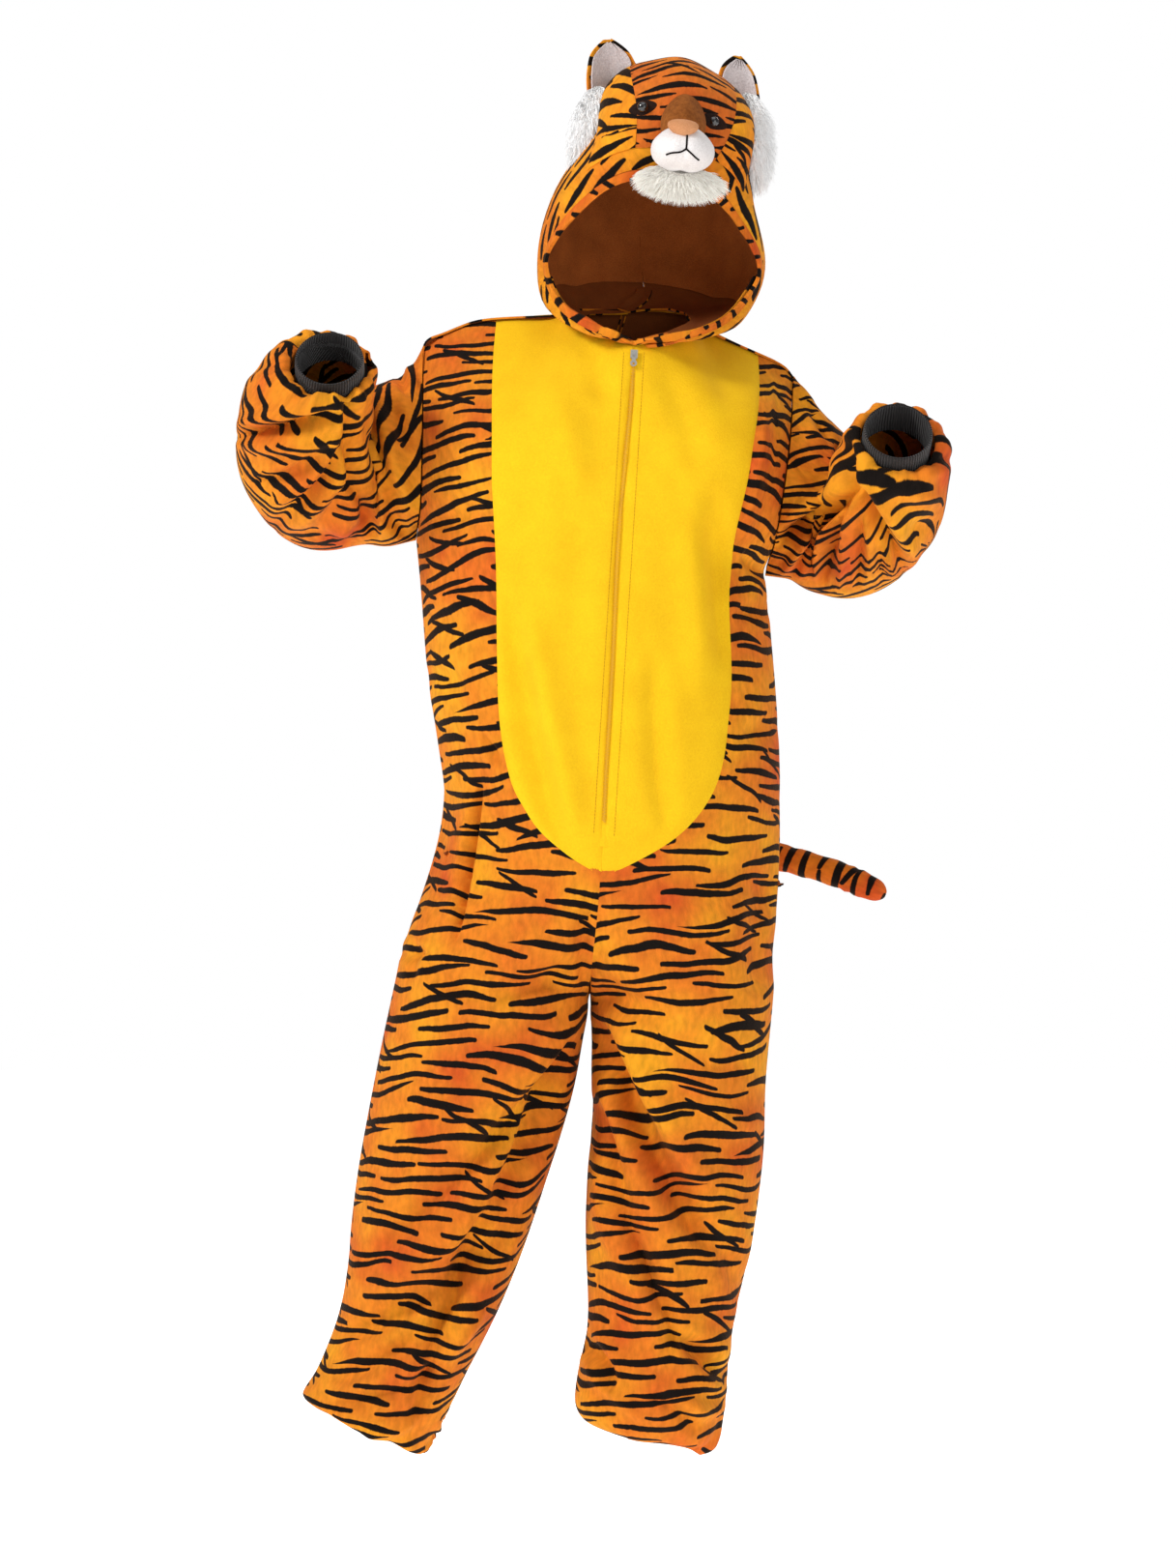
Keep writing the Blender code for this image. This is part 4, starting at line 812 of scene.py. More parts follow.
RIGHT_SLEEVE_CREASES = folds(
    Side.FRONT,
    (-0.488, -0.133, -0.345, -0.108, 0.0075, -0.0075, -0.008, -0.3),
    (-0.482, -0.118, -0.35, -0.092, 0.008, 0.004, -0.008, 0),
    (-0.47, -0.15, -0.35, -0.14, 0.008, 0.0035, -0.006, 0),
    (-0.337, -0.085, -0.333, -0.215, 0.009, -0.01, 0, 0),
    (-0.34, -0.13, -0.45, -0.243, 0.009, -0.0085, 0.016, 0.35),
    (-0.356, -0.15, -0.44, -0.216, 0.0065, 0.005, 0.012, 0),
    (-0.375, -0.16, -0.46, -0.19, 0.007, -0.005, 0.01, 0),
    (-0.333, -0.175, -0.4, -0.252, 0.009, -0.007, 0.01, 0.3),
    (-0.332, -0.2, -0.365, -0.262, 0.008, 0.0045, 0.004, 0),
    (-0.325, -0.1, -0.282, -0.238, 0.01, -0.006, -0.004, 0.3),
    (-0.308, -0.085, -0.268, -0.215, 0.01, 0.004, -0.004, 0),
    (-0.298, -0.075, -0.262, -0.15, 0.009, -0.005, -0.004, 0),
    (-0.33, -0.205, -0.315, -0.255, 0.007, -0.005, 0, 0),
    (-0.3, -0.225, -0.275, -0.25, 0.007, -0.004, 0, 0),
    (-0.29, -0.04, -0.272, -0.08, 0.006, -0.004, 0, 0),
    (-0.278, -0.03, -0.262, -0.07, 0.006, 0.003, 0, 0),
    (-0.48, -0.06, -0.42, -0.05, 0.008, -0.004, 0.004, 0),
    (-0.42, -0.25, -0.34, -0.258, 0.006, -0.004, 0, 0),
) + folds(
    Side.BACK,
    (-0.47, -0.18, -0.36, -0.15, 0.012, -0.007, 0.01, 0),
    (-0.46, -0.12, -0.35, -0.11, 0.012, -0.005, 0.006, 0),
    (-0.34, -0.08, -0.3, -0.23, 0.013, -0.006, 0.004, 0),
    (-0.3, -0.07, -0.27, -0.2, 0.012, 0.004, 0, 0),
    (-0.45, -0.22, -0.33, -0.24, 0.01, -0.005, 0, 0),
)
LEFT_SLEEVE_CREASES = folds(
    Side.FRONT,
    (0.27, -0.185, 0.35, -0.298, 0.008, -0.009, -0.006, -0.4),
    (0.285, -0.175, 0.365, -0.29, 0.01, 0.004, -0.004, 0),
    (0.272, -0.208, 0.178, -0.262, 0.01, -0.011, 0.004, -0.4),
    (0.27, -0.185, 0.17, -0.235, 0.012, 0.005, 0.004, 0),
    (0.262, -0.14, 0.272, -0.215, 0.008, -0.01, 0, 0),
    (0.266, -0.215, 0.242, -0.312, 0.006, -0.007, -0.004, 0),
    (0.256, -0.225, 0.228, -0.305, 0.006, 0.004, -0.003, 0),
    (0.275, -0.215, 0.285, -0.318, 0.006, -0.007, 0.003, 0),
    (0.268, -0.225, 0.262, -0.32, 0.005, 0.005, 0, 0),
    (0.24, -0.24, 0.205, -0.3, 0.006, -0.006, 0, 0),
    (0.225, -0.25, 0.19, -0.3, 0.006, 0.003, 0, 0),
    (0.282, -0.22, 0.318, -0.312, 0.007, -0.006, 0.004, 0),
    (0.3, -0.25, 0.33, -0.305, 0.006, 0.003, 0, 0),
    (0.225, -0.085, 0.25, -0.135, 0.006, -0.004, 0, 0),
    (0.212, -0.06, 0.245, -0.115, 0.006, 0.003, 0, 0),
    (0.2, -0.16, 0.24, -0.195, 0.01, -0.003, 0, 0),
    (0.4, -0.165, 0.33, -0.182, 0.007, -0.004, -0.004, 0),
    (0.39, -0.215, 0.3, -0.195, 0.01, 0.003, 0.004, 0),
    (0.385, -0.24, 0.33, -0.262, 0.008, -0.004, -0.004, 0),
) + folds(
    Side.BACK,
    (0.18, -0.12, 0.29, -0.26, 0.012, -0.006, 0.006, 0),
    (0.22, -0.09, 0.32, -0.22, 0.012, 0.004, 0.006, 0),
    (0.28, -0.14, 0.39, -0.2, 0.012, -0.005, 0.006, 0),
    (0.29, -0.23, 0.37, -0.28, 0.01, -0.005, 0, 0),
)


def deselect_all() -> None:
    """Deselects every object."""
    for thing in bpy.context.view_layer.objects:
        thing.select_set(False)


def only(thing: bpy.types.Object) -> None:
    """Makes this the one selected and active object."""
    deselect_all()
    thing.select_set(True)
    bpy.context.view_layer.objects.active = thing


@contextmanager
def editing(thing: bpy.types.Object) -> Iterator[None]:
    """Opens a piece in edit mode with all of it selected, and closes it again."""
    only(thing)
    bpy.ops.object.mode_set(mode="EDIT")
    bpy.ops.mesh.select_all(action="SELECT")
    yield
    bpy.ops.object.mode_set(mode="OBJECT")


def quads(thing: bpy.types.Object) -> None:
    """Merges the piece's triangles into quads where they lie nearly flat."""
    with editing(thing):
        bpy.ops.mesh.tris_convert_to_quads(face_threshold=QUAD_ANGLE, shape_threshold=QUAD_ANGLE)


def numbers(
    items: bpy.types.bpy_prop_collection, name: str, wide: int = 1, kind: type = float
) -> np.ndarray:
    """Reads one attribute of every item of a collection.

    Args:
        items: The collection, such as a mesh's vertices.
        name: The attribute's name.
        wide: How many numbers each item has.
        kind: The kind of number.

    Returns:
        The numbers, in rows where an item has several.
    """
    flat = np.empty(len(items) * wide, kind)
    items.foreach_get(name, flat)
    return flat.reshape(-1, wide) if wide > 1 else flat


def corners_of(mesh: bpy.types.Mesh) -> tuple[np.ndarray, np.ndarray, np.ndarray]:
    """Returns the vertex, the edge and the face of each corner of a mesh."""
    sizes = numbers(mesh.polygons, "loop_total", 1, int)
    owner = np.repeat(np.arange(len(sizes)), sizes)
    loops = mesh.loops
    return numbers(loops, "vertex_index", 1, int), numbers(loops, "edge_index", 1, int), owner


def lay_out(thing: bpy.types.Object, uv: np.ndarray) -> None:
    """Gives the piece its flat pattern, a row of the map for each corner."""
    layers = thing.data.uv_layers
    if CLOTH_UV not in layers:
        layers.new(name=CLOTH_UV)
    layers[CLOTH_UV].data.foreach_set("uv", uv.ravel())


def keep_whole(mesh: bpy.types.Mesh, uv: np.ndarray, column: int, full: float) -> None:
    """Moves corners by a full turn where a face lies across the pattern's cut.

    Args:
        mesh: The mesh.
        uv: Its pattern, which is changed.
        column: The column of the pattern that goes round.
        full: A full turn in that column.
    """
    for face in mesh.polygons:
        rows = list(face.loop_indices)
        ring = uv[rows, column]
        if np.ptp(ring) > full / 2:
            uv[rows, column] = np.where(ring < 0, ring + full, ring)


def unit_rows(rows: np.ndarray) -> np.ndarray:
    """Returns each row at length one, and a row of noughts as it is."""
    return rows / np.maximum(np.linalg.norm(rows, axis=1, keepdims=True), 1e-12)


def lengths_of(line: np.ndarray) -> np.ndarray:
    """Returns how far along a line each of its points lies."""
    return np.r_[0, np.cumsum(np.linalg.norm(np.diff(line, axis=0), axis=1))]


def places_at(line: np.ndarray, lengths: np.ndarray) -> np.ndarray:
    """Returns the places on a line at these lengths from its start."""
    gone = lengths_of(line)
    return np.stack([np.interp(lengths, gone, line[:, k]) for k in range(line.shape[1])], 1)


def ring_faces(rings: int, around: int, base: int = 0) -> list[list[int]]:
    """Lists the faces between rings of points.

    Args:
        rings: How many rings there are.
        around: How many points each ring has.
        base: Number of the first point.

    Returns:
        The faces, as point numbers.
    """
    faces: list[list[int]] = []
    for i in range(rings - 1):
        low = base + i * around
        high = low + around
        for j in range(around):
            k = (j + 1) % around
            faces.append([low + j, low + k, high + k, high + j])
    return faces


def piece_of(name: str, points: np.ndarray, faces: Sequence[Sequence[int]]) -> bpy.types.Object:
    """Makes a mesh object at the origin.

    Args:
        name: The piece's name.
        points: Its vertices.
        faces: Its faces, as vertex numbers.

    Returns:
        The new object.
    """
    mesh = bpy.data.meshes.new(name)
    mesh.from_pydata([tuple(map(float, p)) for p in points], [], [tuple(map(int, f)) for f in faces])
    thing = bpy.data.objects.new(name, mesh)
    bpy.context.scene.collection.objects.link(thing)
    return thing


def apply_modifier(thing: bpy.types.Object, kind: str, **settings: object) -> None:
    """Adds one modifier and applies it.

    Args:
        thing: The piece.
        kind: The modifier's type.
        **settings: The modifier's own settings.
    """
    modifier = thing.modifiers.new(kind.lower(), kind)
    for name, value in settings.items():
        setattr(modifier, name, value)
    only(thing)
    bpy.ops.object.modifier_apply(modifier=modifier.name)


def points_of(thing: bpy.types.Object) -> np.ndarray:
    """Returns the piece's vertices as an array of rows."""
    return numbers(thing.data.vertices, "co", 3)


def normals_of(thing: bpy.types.Object) -> np.ndarray:
    """Returns the piece's vertex normals as an array of rows."""
    return numbers(thing.data.vertex_normals, "vector", 3)


def move_to(thing: bpy.types.Object, points: np.ndarray) -> None:
    """Puts the piece's vertices at these points."""
    thing.data.vertices.foreach_set("co", points.astype(np.float32).ravel())
    thing.data.update()


def merged_copy(node: str) -> tuple[np.ndarray, np.ndarray]:
    """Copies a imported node's mesh and merges its loose triangles.

    Args:
        node: The node's name.

    Returns:
        Its points and its triangles.
    """
    source = frame["nodes"][node].data
    shell = bmesh.new()
    shell.from_mesh(source)
    bmesh.ops.remove_doubles(shell, verts=shell.verts, dist=MERGE)
    bmesh.ops.triangulate(shell, faces=shell.faces)
    points = np.array([v.co[:] for v in shell.verts])
    faces = np.array([[v.index for v in f.verts] for f in shell.faces])
    shell.free()
    return points, faces


def nearest_on(path: np.ndarray, points: np.ndarray) -> tuple[np.ndarray, np.ndarray]:
    """Finds each point's nearest place on a line of straight stretches.

    Args:
        path: The line's corners.
        points: The points.

    Returns:
        The nearest places, and how far along the line each one is.
    """
    best = np.full(len(points), np.inf)
    place = np.zeros_like(points)
    along = np.zeros(len(points))
    gone = 0.0
    for a, b in zip(path[:-1], path[1:], strict=True):
        line = b - a
        long = float(np.linalg.norm(line))
        t = np.clip((points - a) @ line / long**2, 0, 1)
        spot = a + t[:, None] * line
        far = np.linalg.norm(points - spot, axis=1)
        closer = far < best
        best[closer] = far[closer]
        place[closer] = spot[closer]
        along[closer] = gone + t[closer] * long
        gone += long
    return place, along


def outer_sheet(node: str, thick: float, core: np.ndarray) -> tuple[np.ndarray, np.ndarray]:
    """Takes the outer face of a thin wall, without its rim.

    Args:
        node: The node's name.
        thick: The wall's thickness.
        core: A line through the space that the wall goes round.

    Returns:
        The sheet's points and triangles.
    """
    points, faces = merged_copy(node)
    corners = points[faces]
    normal = np.cross(corners[:, 1] - corners[:, 0], corners[:, 2] - corners[:, 0])
    at_points = np.zeros_like(points)
    for k in range(3):
        np.add.at(at_points, faces[:, k], normal)
    at_points = unit_rows(at_points)
    ends = np.concatenate([faces[:, [0, 1]], faces[:, [1, 2]], faces[:, [2, 0]]])
    owner = np.tile(np.arange(len(faces)), 3)
    edge = points[ends[:, 1]] - points[ends[:, 0]]
    long = np.linalg.norm(edge, axis=1)
    way = edge / long[:, None]
    first = (way * at_points[ends[:, 0]]).sum(1)
    second = (way * at_points[ends[:, 1]]).sum(1)
    through = (long < 1.6 * thick) & (first * second < 0)
    through &= (np.abs(first) > 0.3) & (np.abs(second) > 0.3)
    through |= np.abs(long - thick) < 0.1 * thick
    rim = np.zeros(len(faces), bool)
    rim[owner[through]] = True
    unit = normal / np.maximum(np.linalg.norm(normal, axis=1, keepdims=True), 1e-15)
    longest = long.reshape(3, -1).max(0)
    narrow = np.linalg.norm(normal, axis=1) / longest < 1.5 * thick
    shell = BVHTree.FromPolygons(points.tolist(), faces.tolist())
    for i in np.where(narrow & ~rim)[0]:
        inside = Vector(corners[i].mean(0) - unit[i] * thick * 0.05)
        hit = shell.ray_cast(inside, Vector(-unit[i]), 2.2 * thick)
        rim[i] = hit[0] is None
    parent = np.arange(len(faces))

    def root(i: int) -> int:
        """Finds the part of the shell that a face belongs to."""
        while parent[i] != i:
            parent[i] = parent[parent[i]]
            i = parent[i]
        return i

    beside: dict[tuple[int, int], int] = {}
    for (a, b), i in zip(np.sort(ends, axis=1).tolist(), owner.tolist(), strict=True):
        other = beside.setdefault((a, b), i)
        if other != i and not (rim[i] or rim[other]) and unit[i] @ unit[other] > -0.2:
            parent[root(i)] = root(other)
    kept = faces[~rim]
    groups = np.array([root(i) for i in np.where(~rim)[0]])
    centres = points[kept].mean(1)
    spots, _ = nearest_on(core, centres)
    faced = np.cross(points[kept[:, 1]] - points[kept[:, 0]], points[kept[:, 2]] - points[kept[:, 0]])
    outward = (faced * (centres - spots)).sum(1)
    areas = np.linalg.norm(faced, axis=1)
    score = {g: outward[groups == g].sum() for g in np.unique(groups)}
    size = {g: areas[groups == g].sum() for g in np.unique(groups)}
    large = sorted(size, key=lambda g: -size[g])[:2]
    chosen = max(large, key=lambda g: score[g])
    shares = [round(size[g] / areas.sum(), 3) for g in large]
    log.info("%s: parts %s, %d rim faces", node, shares, int(rim.sum()))
    sheet = kept[groups == chosen]
    used, index = np.unique(sheet, return_inverse=True)
    return points[used], index.reshape(-1, 3)


def evened(thing: bpy.types.Object, height: float, reach: float, rounds: int) -> None:
    """Evens out a step in the sheet, as cloth does that hangs over it.

    Points of the border move along the border alone, so that seams still meet, and the cloth
    round the belly's tip stays where it is.

    Args:
        thing: The sheet.
        height: Height of the step.
        reach: How far above and below the cloth eases.
        rounds: How often each point moves towards the middle of its neighbours.
    """
    mesh = thing.data
    ends = numbers(mesh.edges, "vertices", 2, int)
    edges = numbers(mesh.loops, "edge_index", 1, int)
    single = np.bincount(edges, minlength=len(ends)) == 1
    rim = np.zeros(len(mesh.vertices), bool)
    rim[ends[single].ravel()] = True
    keep = single | ~(rim[ends[:, 0]] | rim[ends[:, 1]])
    inner = ~single & (rim[ends[:, 0]] != rim[ends[:, 1]])
    points = points_of(thing)
    weight = 0.6 * np.exp(-(((points[:, 2] - height) / reach) ** 4))
    clear = np.clip((np.abs(points[:, 0] + 0.03) - 0.13) / 0.05, 0, 1)
    weight = (weight * np.where(rim & (points[:, 1] < 0.05), clear, 1.0))[:, None]
    for _ in range(rounds):
        total = np.zeros_like(points)
        count = np.zeros(len(points))
        for a, b in ((0, 1), (1, 0)):
            np.add.at(total, ends[keep, a], points[ends[keep, b]])
            np.add.at(count, ends[keep, a], 1)
            one_way = inner & ~rim[ends[:, a]]
            np.add.at(total, ends[one_way, a], points[ends[one_way, b]])
            np.add.at(count, ends[one_way, a], 1)
        middle = total / np.maximum(count, 1)[:, None]
        points = points + weight * (middle - points)
    move_to(thing, points)


def flat_pattern(thing: bpy.types.Object, turn: float, shift: tuple[float, float]) -> None:
    """Flattens an open sheet into a UV map in metres.

    Args:
        thing: The sheet.
        turn: Extra turn of the pattern, in radians.
        shift: Where the pattern starts, in metres.
    """
    mesh = thing.data
    mesh.uv_layers.new(name=CLOTH_UV)
    with editing(thing):
        bpy.ops.uv.unwrap(method="MINIMUM_STRETCH", iterations=40, margin=0.0)
    uv = numbers(mesh.uv_layers[CLOTH_UV].data, "uv", 2)
    loops = numbers(mesh.loops, "vertex_index", 1, int)
    real = points_of(thing)[loops]
    real_area = sum(p.area for p in mesh.polygons)
    flat_area = 0.0
    for p in mesh.polygons:
        ring = uv[list(p.loop_indices)]
        after = np.roll(ring, -1, axis=0)
        flat_area += abs((ring[:, 0] * after[:, 1] - ring[:, 1] * after[:, 0]).sum()) / 2
    uv = (uv - uv.mean(0)) * math.sqrt(real_area / flat_area)
    fit = np.linalg.lstsq(np.c_[uv, np.ones(len(uv))], real[:, 2], rcond=None)[0]
    angle = math.pi / 2 - math.atan2(fit[1], fit[0]) + turn
    spin = np.array([[math.cos(angle), math.sin(angle)], [-math.sin(angle), math.cos(angle)]])
    uv = uv @ spin + np.array(shift)
    lay_out(thing, uv)
    size = np.ptp(uv, axis=0)
    log.info("%s: cut %.3f by %.3f m, area %.4f", thing.name, size[0], size[1], real_area)


def tube_pattern(thing: bpy.types.Object, path: np.ndarray, shift: tuple[float, float]) -> None:
    """Rolls a tube out into a UV map in metres, with its seam underneath.

    Args:
        thing: The tube.
        path: The line through its middle.
        shift: Where the pattern starts, in metres.
    """
    mesh = thing.data
    points = points_of(thing)
    spots, along = nearest_on(path, points)
    fine = np.linspace(0, 1, 400)
    lengths = lengths_of(path)
    ways = np.gradient(places_at(path, fine * lengths[-1]), axis=0)
    kernel = np.ones(41) / 41
    padded = [np.pad(ways[:, k], 20, mode="edge") for k in range(3)]
    ways = np.stack([np.convolve(row, kernel, "valid") for row in padded], 1)
    ways = unit_rows(ways)
    pick = np.clip((along / lengths[-1] * 399).astype(int), 0, 399)
    way = ways[pick]
    up = np.cross(way, np.array([0.0, -1.0, 0.0]))
    up = unit_rows(up)
    side = np.cross(up, way)
    off = points - spots
    angle = np.arctan2((off * up).sum(1), (off * side).sum(1))
    radius = float(np.median(np.linalg.norm(off, axis=1)))
    loops = numbers(mesh.loops, "vertex_index", 1, int)
    uv = np.c_[angle[loops], along[loops]]
    keep_whole(mesh, uv, 0, 2 * math.pi)
    uv[:, 0] *= radius
    uv = uv + np.array(shift)
    lay_out(thing, uv)
    area = sum(p.area for p in mesh.polygons)
    round_it = 2 * math.pi * radius
    log.info("%s: round %.3f by %.3f m, area %.4f", thing.name, round_it, lengths[-1], area)


def sleeve_pattern(
    thing: bpy.types.Object, path: np.ndarray, turn: float, shift: tuple[float, float]
) -> None:
    """Cuts a bent tube open along its seam and flattens it into a UV map in metres.

    Args:
        thing: The tube.
        path: The line through its middle.
        turn: Extra turn of the pattern, in radians.
        shift: Where the pattern starts, in metres.
    """
    mesh = thing.data
    points = points_of(thing)
    spots, _ = nearest_on(path, points)
    off = points - spots
    loops, edges, owner = corners_of(mesh)
    middle = np.zeros((len(mesh.polygons), 3))
    np.add.at(middle, owner, off[loops])
    angle = np.arctan2(middle[:, 0] + middle[:, 2], -middle[:, 1])
    order = np.argsort(edges, kind="stable")
    same = edges[order][1:] == edges[order][:-1]
    first, second = owner[order][:-1][same], owner[order][1:][same]
    cut = edges[order][:-1][same][np.abs(angle[first] - angle[second]) > math.pi]
    for i in cut:
        mesh.edges[int(i)].use_seam = True
    flat_pattern(thing, turn, shift)


def band_pattern(
    thing: bpy.types.Object, hub: tuple[float, float, float], shift: tuple[float, float]
) -> None:
    """Rolls a ring of cloth out straight into a UV map in metres, its ends below.

    Args:
        thing: The ring.
        hub: The ring's middle.
        shift: Where the pattern starts, in metres.
    """
    mesh = thing.data
    points = points_of(thing)
    off = points - np.array(hub)
    angle = np.arctan2(off[:, 0], off[:, 2])
    reach = np.hypot(off[:, 0], off[:, 2])
    round_it = float(reach.mean())
    loops = numbers(mesh.loops, "vertex_index", 1, int)
    uv = np.c_[points[loops, 1] + reach[loops], angle[loops] * round_it] + np.array(shift)
    lay_out(thing, uv)


def allowance(thing: bpy.types.Object, wide: float, deep: float, top: float) -> None:
    """Adds the seam allowance, a strip that laps under the next piece of cloth.

    Args:
        thing: The folded sheet.
        wide: Width of the strip.
        deep: How far inside the cloth it lies.
        top: Height above which the edge is only turned in.
    """
    mesh = thing.data
    old = len(mesh.vertices)
    points = points_of(thing)
    normals = normals_of(thing)
    loops, edges, owner = corners_of(mesh)
    ends = numbers(mesh.edges, "vertices", 2, int)
    centres = np.zeros((len(mesh.polygons), 3))
    np.add.at(centres, owner, points[loops])
    centres /= np.bincount(owner)[:, None]
    single = np.bincount(edges, minlength=len(ends))[edges] == 1
    pair = ends[edges[single]]
    ways = points[pair[:, 1]] - points[pair[:, 0]]
    outs = np.cross(ways, normals[pair].mean(1))
    away = points[pair].mean(1) - centres[owner[single]]
    outs *= np.sign((outs * away).sum(1))[:, None]
    outs = unit_rows(outs)
    total = np.zeros((old, 3))
    np.add.at(total, pair[:, 0], outs)
    np.add.at(total, pair[:, 1], outs)
    total = unit_rows(total)
    total[(points[:, 2] < HEM_TOP) | (points[:, 2] > top)] = 0.0
    only(thing)
    bpy.ops.object.mode_set(mode="EDIT")
    bpy.ops.mesh.select_mode(type="EDGE")
    bpy.ops.mesh.select_all(action="DESELECT")
    bpy.ops.mesh.select_non_manifold(
        extend=False, use_wire=False, use_boundary=True, use_multi_face=False,
        use_non_contiguous=False, use_verts=False,
    )
    bpy.ops.mesh.extrude_edges_indiv()
    bpy.ops.mesh.select_mode(type="VERT")
    bpy.ops.object.mode_set(mode="OBJECT")
    ends = numbers(mesh.edges, "vertices", 2, int)
    ends = np.sort(ends, axis=1)
    bridge = ends[(ends[:, 0] < old) & (ends[:, 1] >= old)]
    moved = points_of(thing)
    inward = np.where(points[:, 2] > top, TURNED_IN, deep)[bridge[:, 0], None]
    moved[bridge[:, 1]] = (
        points[bridge[:, 0]] + wide * total[bridge[:, 0]] - inward * normals[bridge[:, 0]]
    )
    move_to(thing, moved)


def ray_pattern(thing: bpy.types.Object, hub: tuple[float, float, float], spread: float) -> None:
    """Lays the pattern in rays from a hub, as stripes that meet at an eye.

    Args:
        thing: The sheet.
        hub: Where the rays meet.
        spread: Metres of pattern for each radian about the hub.
    """
    mesh = thing.data
    points = points_of(thing)
    off = points - np.array(hub)
    flat = np.c_[off[:, 0], off[:, 2] + 0.35 * off[:, 1]]
    far = np.linalg.norm(off, axis=1)
    angle = np.arctan2(flat[:, 1], flat[:, 0] + 1e-9)
    loops = numbers(mesh.loops, "vertex_index", 1, int)
    uv = np.c_[far[loops], angle[loops] * spread]
    keep_whole(mesh, uv, 1, 2 * math.pi * spread)
    lay_out(thing, uv)
    size = np.ptp(points, axis=0)
    area = sum(p.area for p in mesh.polygons)
    log.info("%s: box %.3f %.3f %.3f m, area %.4f", thing.name, *size, area)


def subdivided(thing: bpy.types.Object, levels: int) -> None:
    """Rounds a coarse sheet so that the fine one still goes through its points.

    Args:
        thing: The coarse sheet.
        levels: How many times each face is split.
    """
    goal = points_of(thing)
    aim = goal.copy()
    count = len(goal)
    for _ in range(3):
        move_to(thing, aim)
        modifier = thing.modifiers.new("round", "SUBSURF")
        modifier.levels = levels
        modifier.render_levels = levels
        modifier.boundary_smooth = "PRESERVE_CORNERS"
        bpy.context.view_layer.update()
        graph = bpy.context.evaluated_depsgraph_get()
        fine = thing.evaluated_get(graph).to_mesh()
        flat = numbers(fine.vertices, "co", 3)
        aim += goal - flat[:count]
        thing.evaluated_get(graph).to_mesh_clear()
        thing.modifiers.remove(modifier)
    move_to(thing, aim)
    apply_modifier(
        thing, "SUBSURF", levels=levels, render_levels=levels, boundary_smooth="PRESERVE_CORNERS",
    )


def border_of(thing: bpy.types.Object) -> np.ndarray:
    """Returns the numbers of the vertices on the sheet's open edges."""
    count = np.zeros(len(thing.data.edges), int)
    loops = numbers(thing.data.loops, "edge_index", 1, int)
    np.add.at(count, loops, 1)
    ends = numbers(thing.data.edges, "vertices", 2, int)
    return np.unique(ends[count == 1])


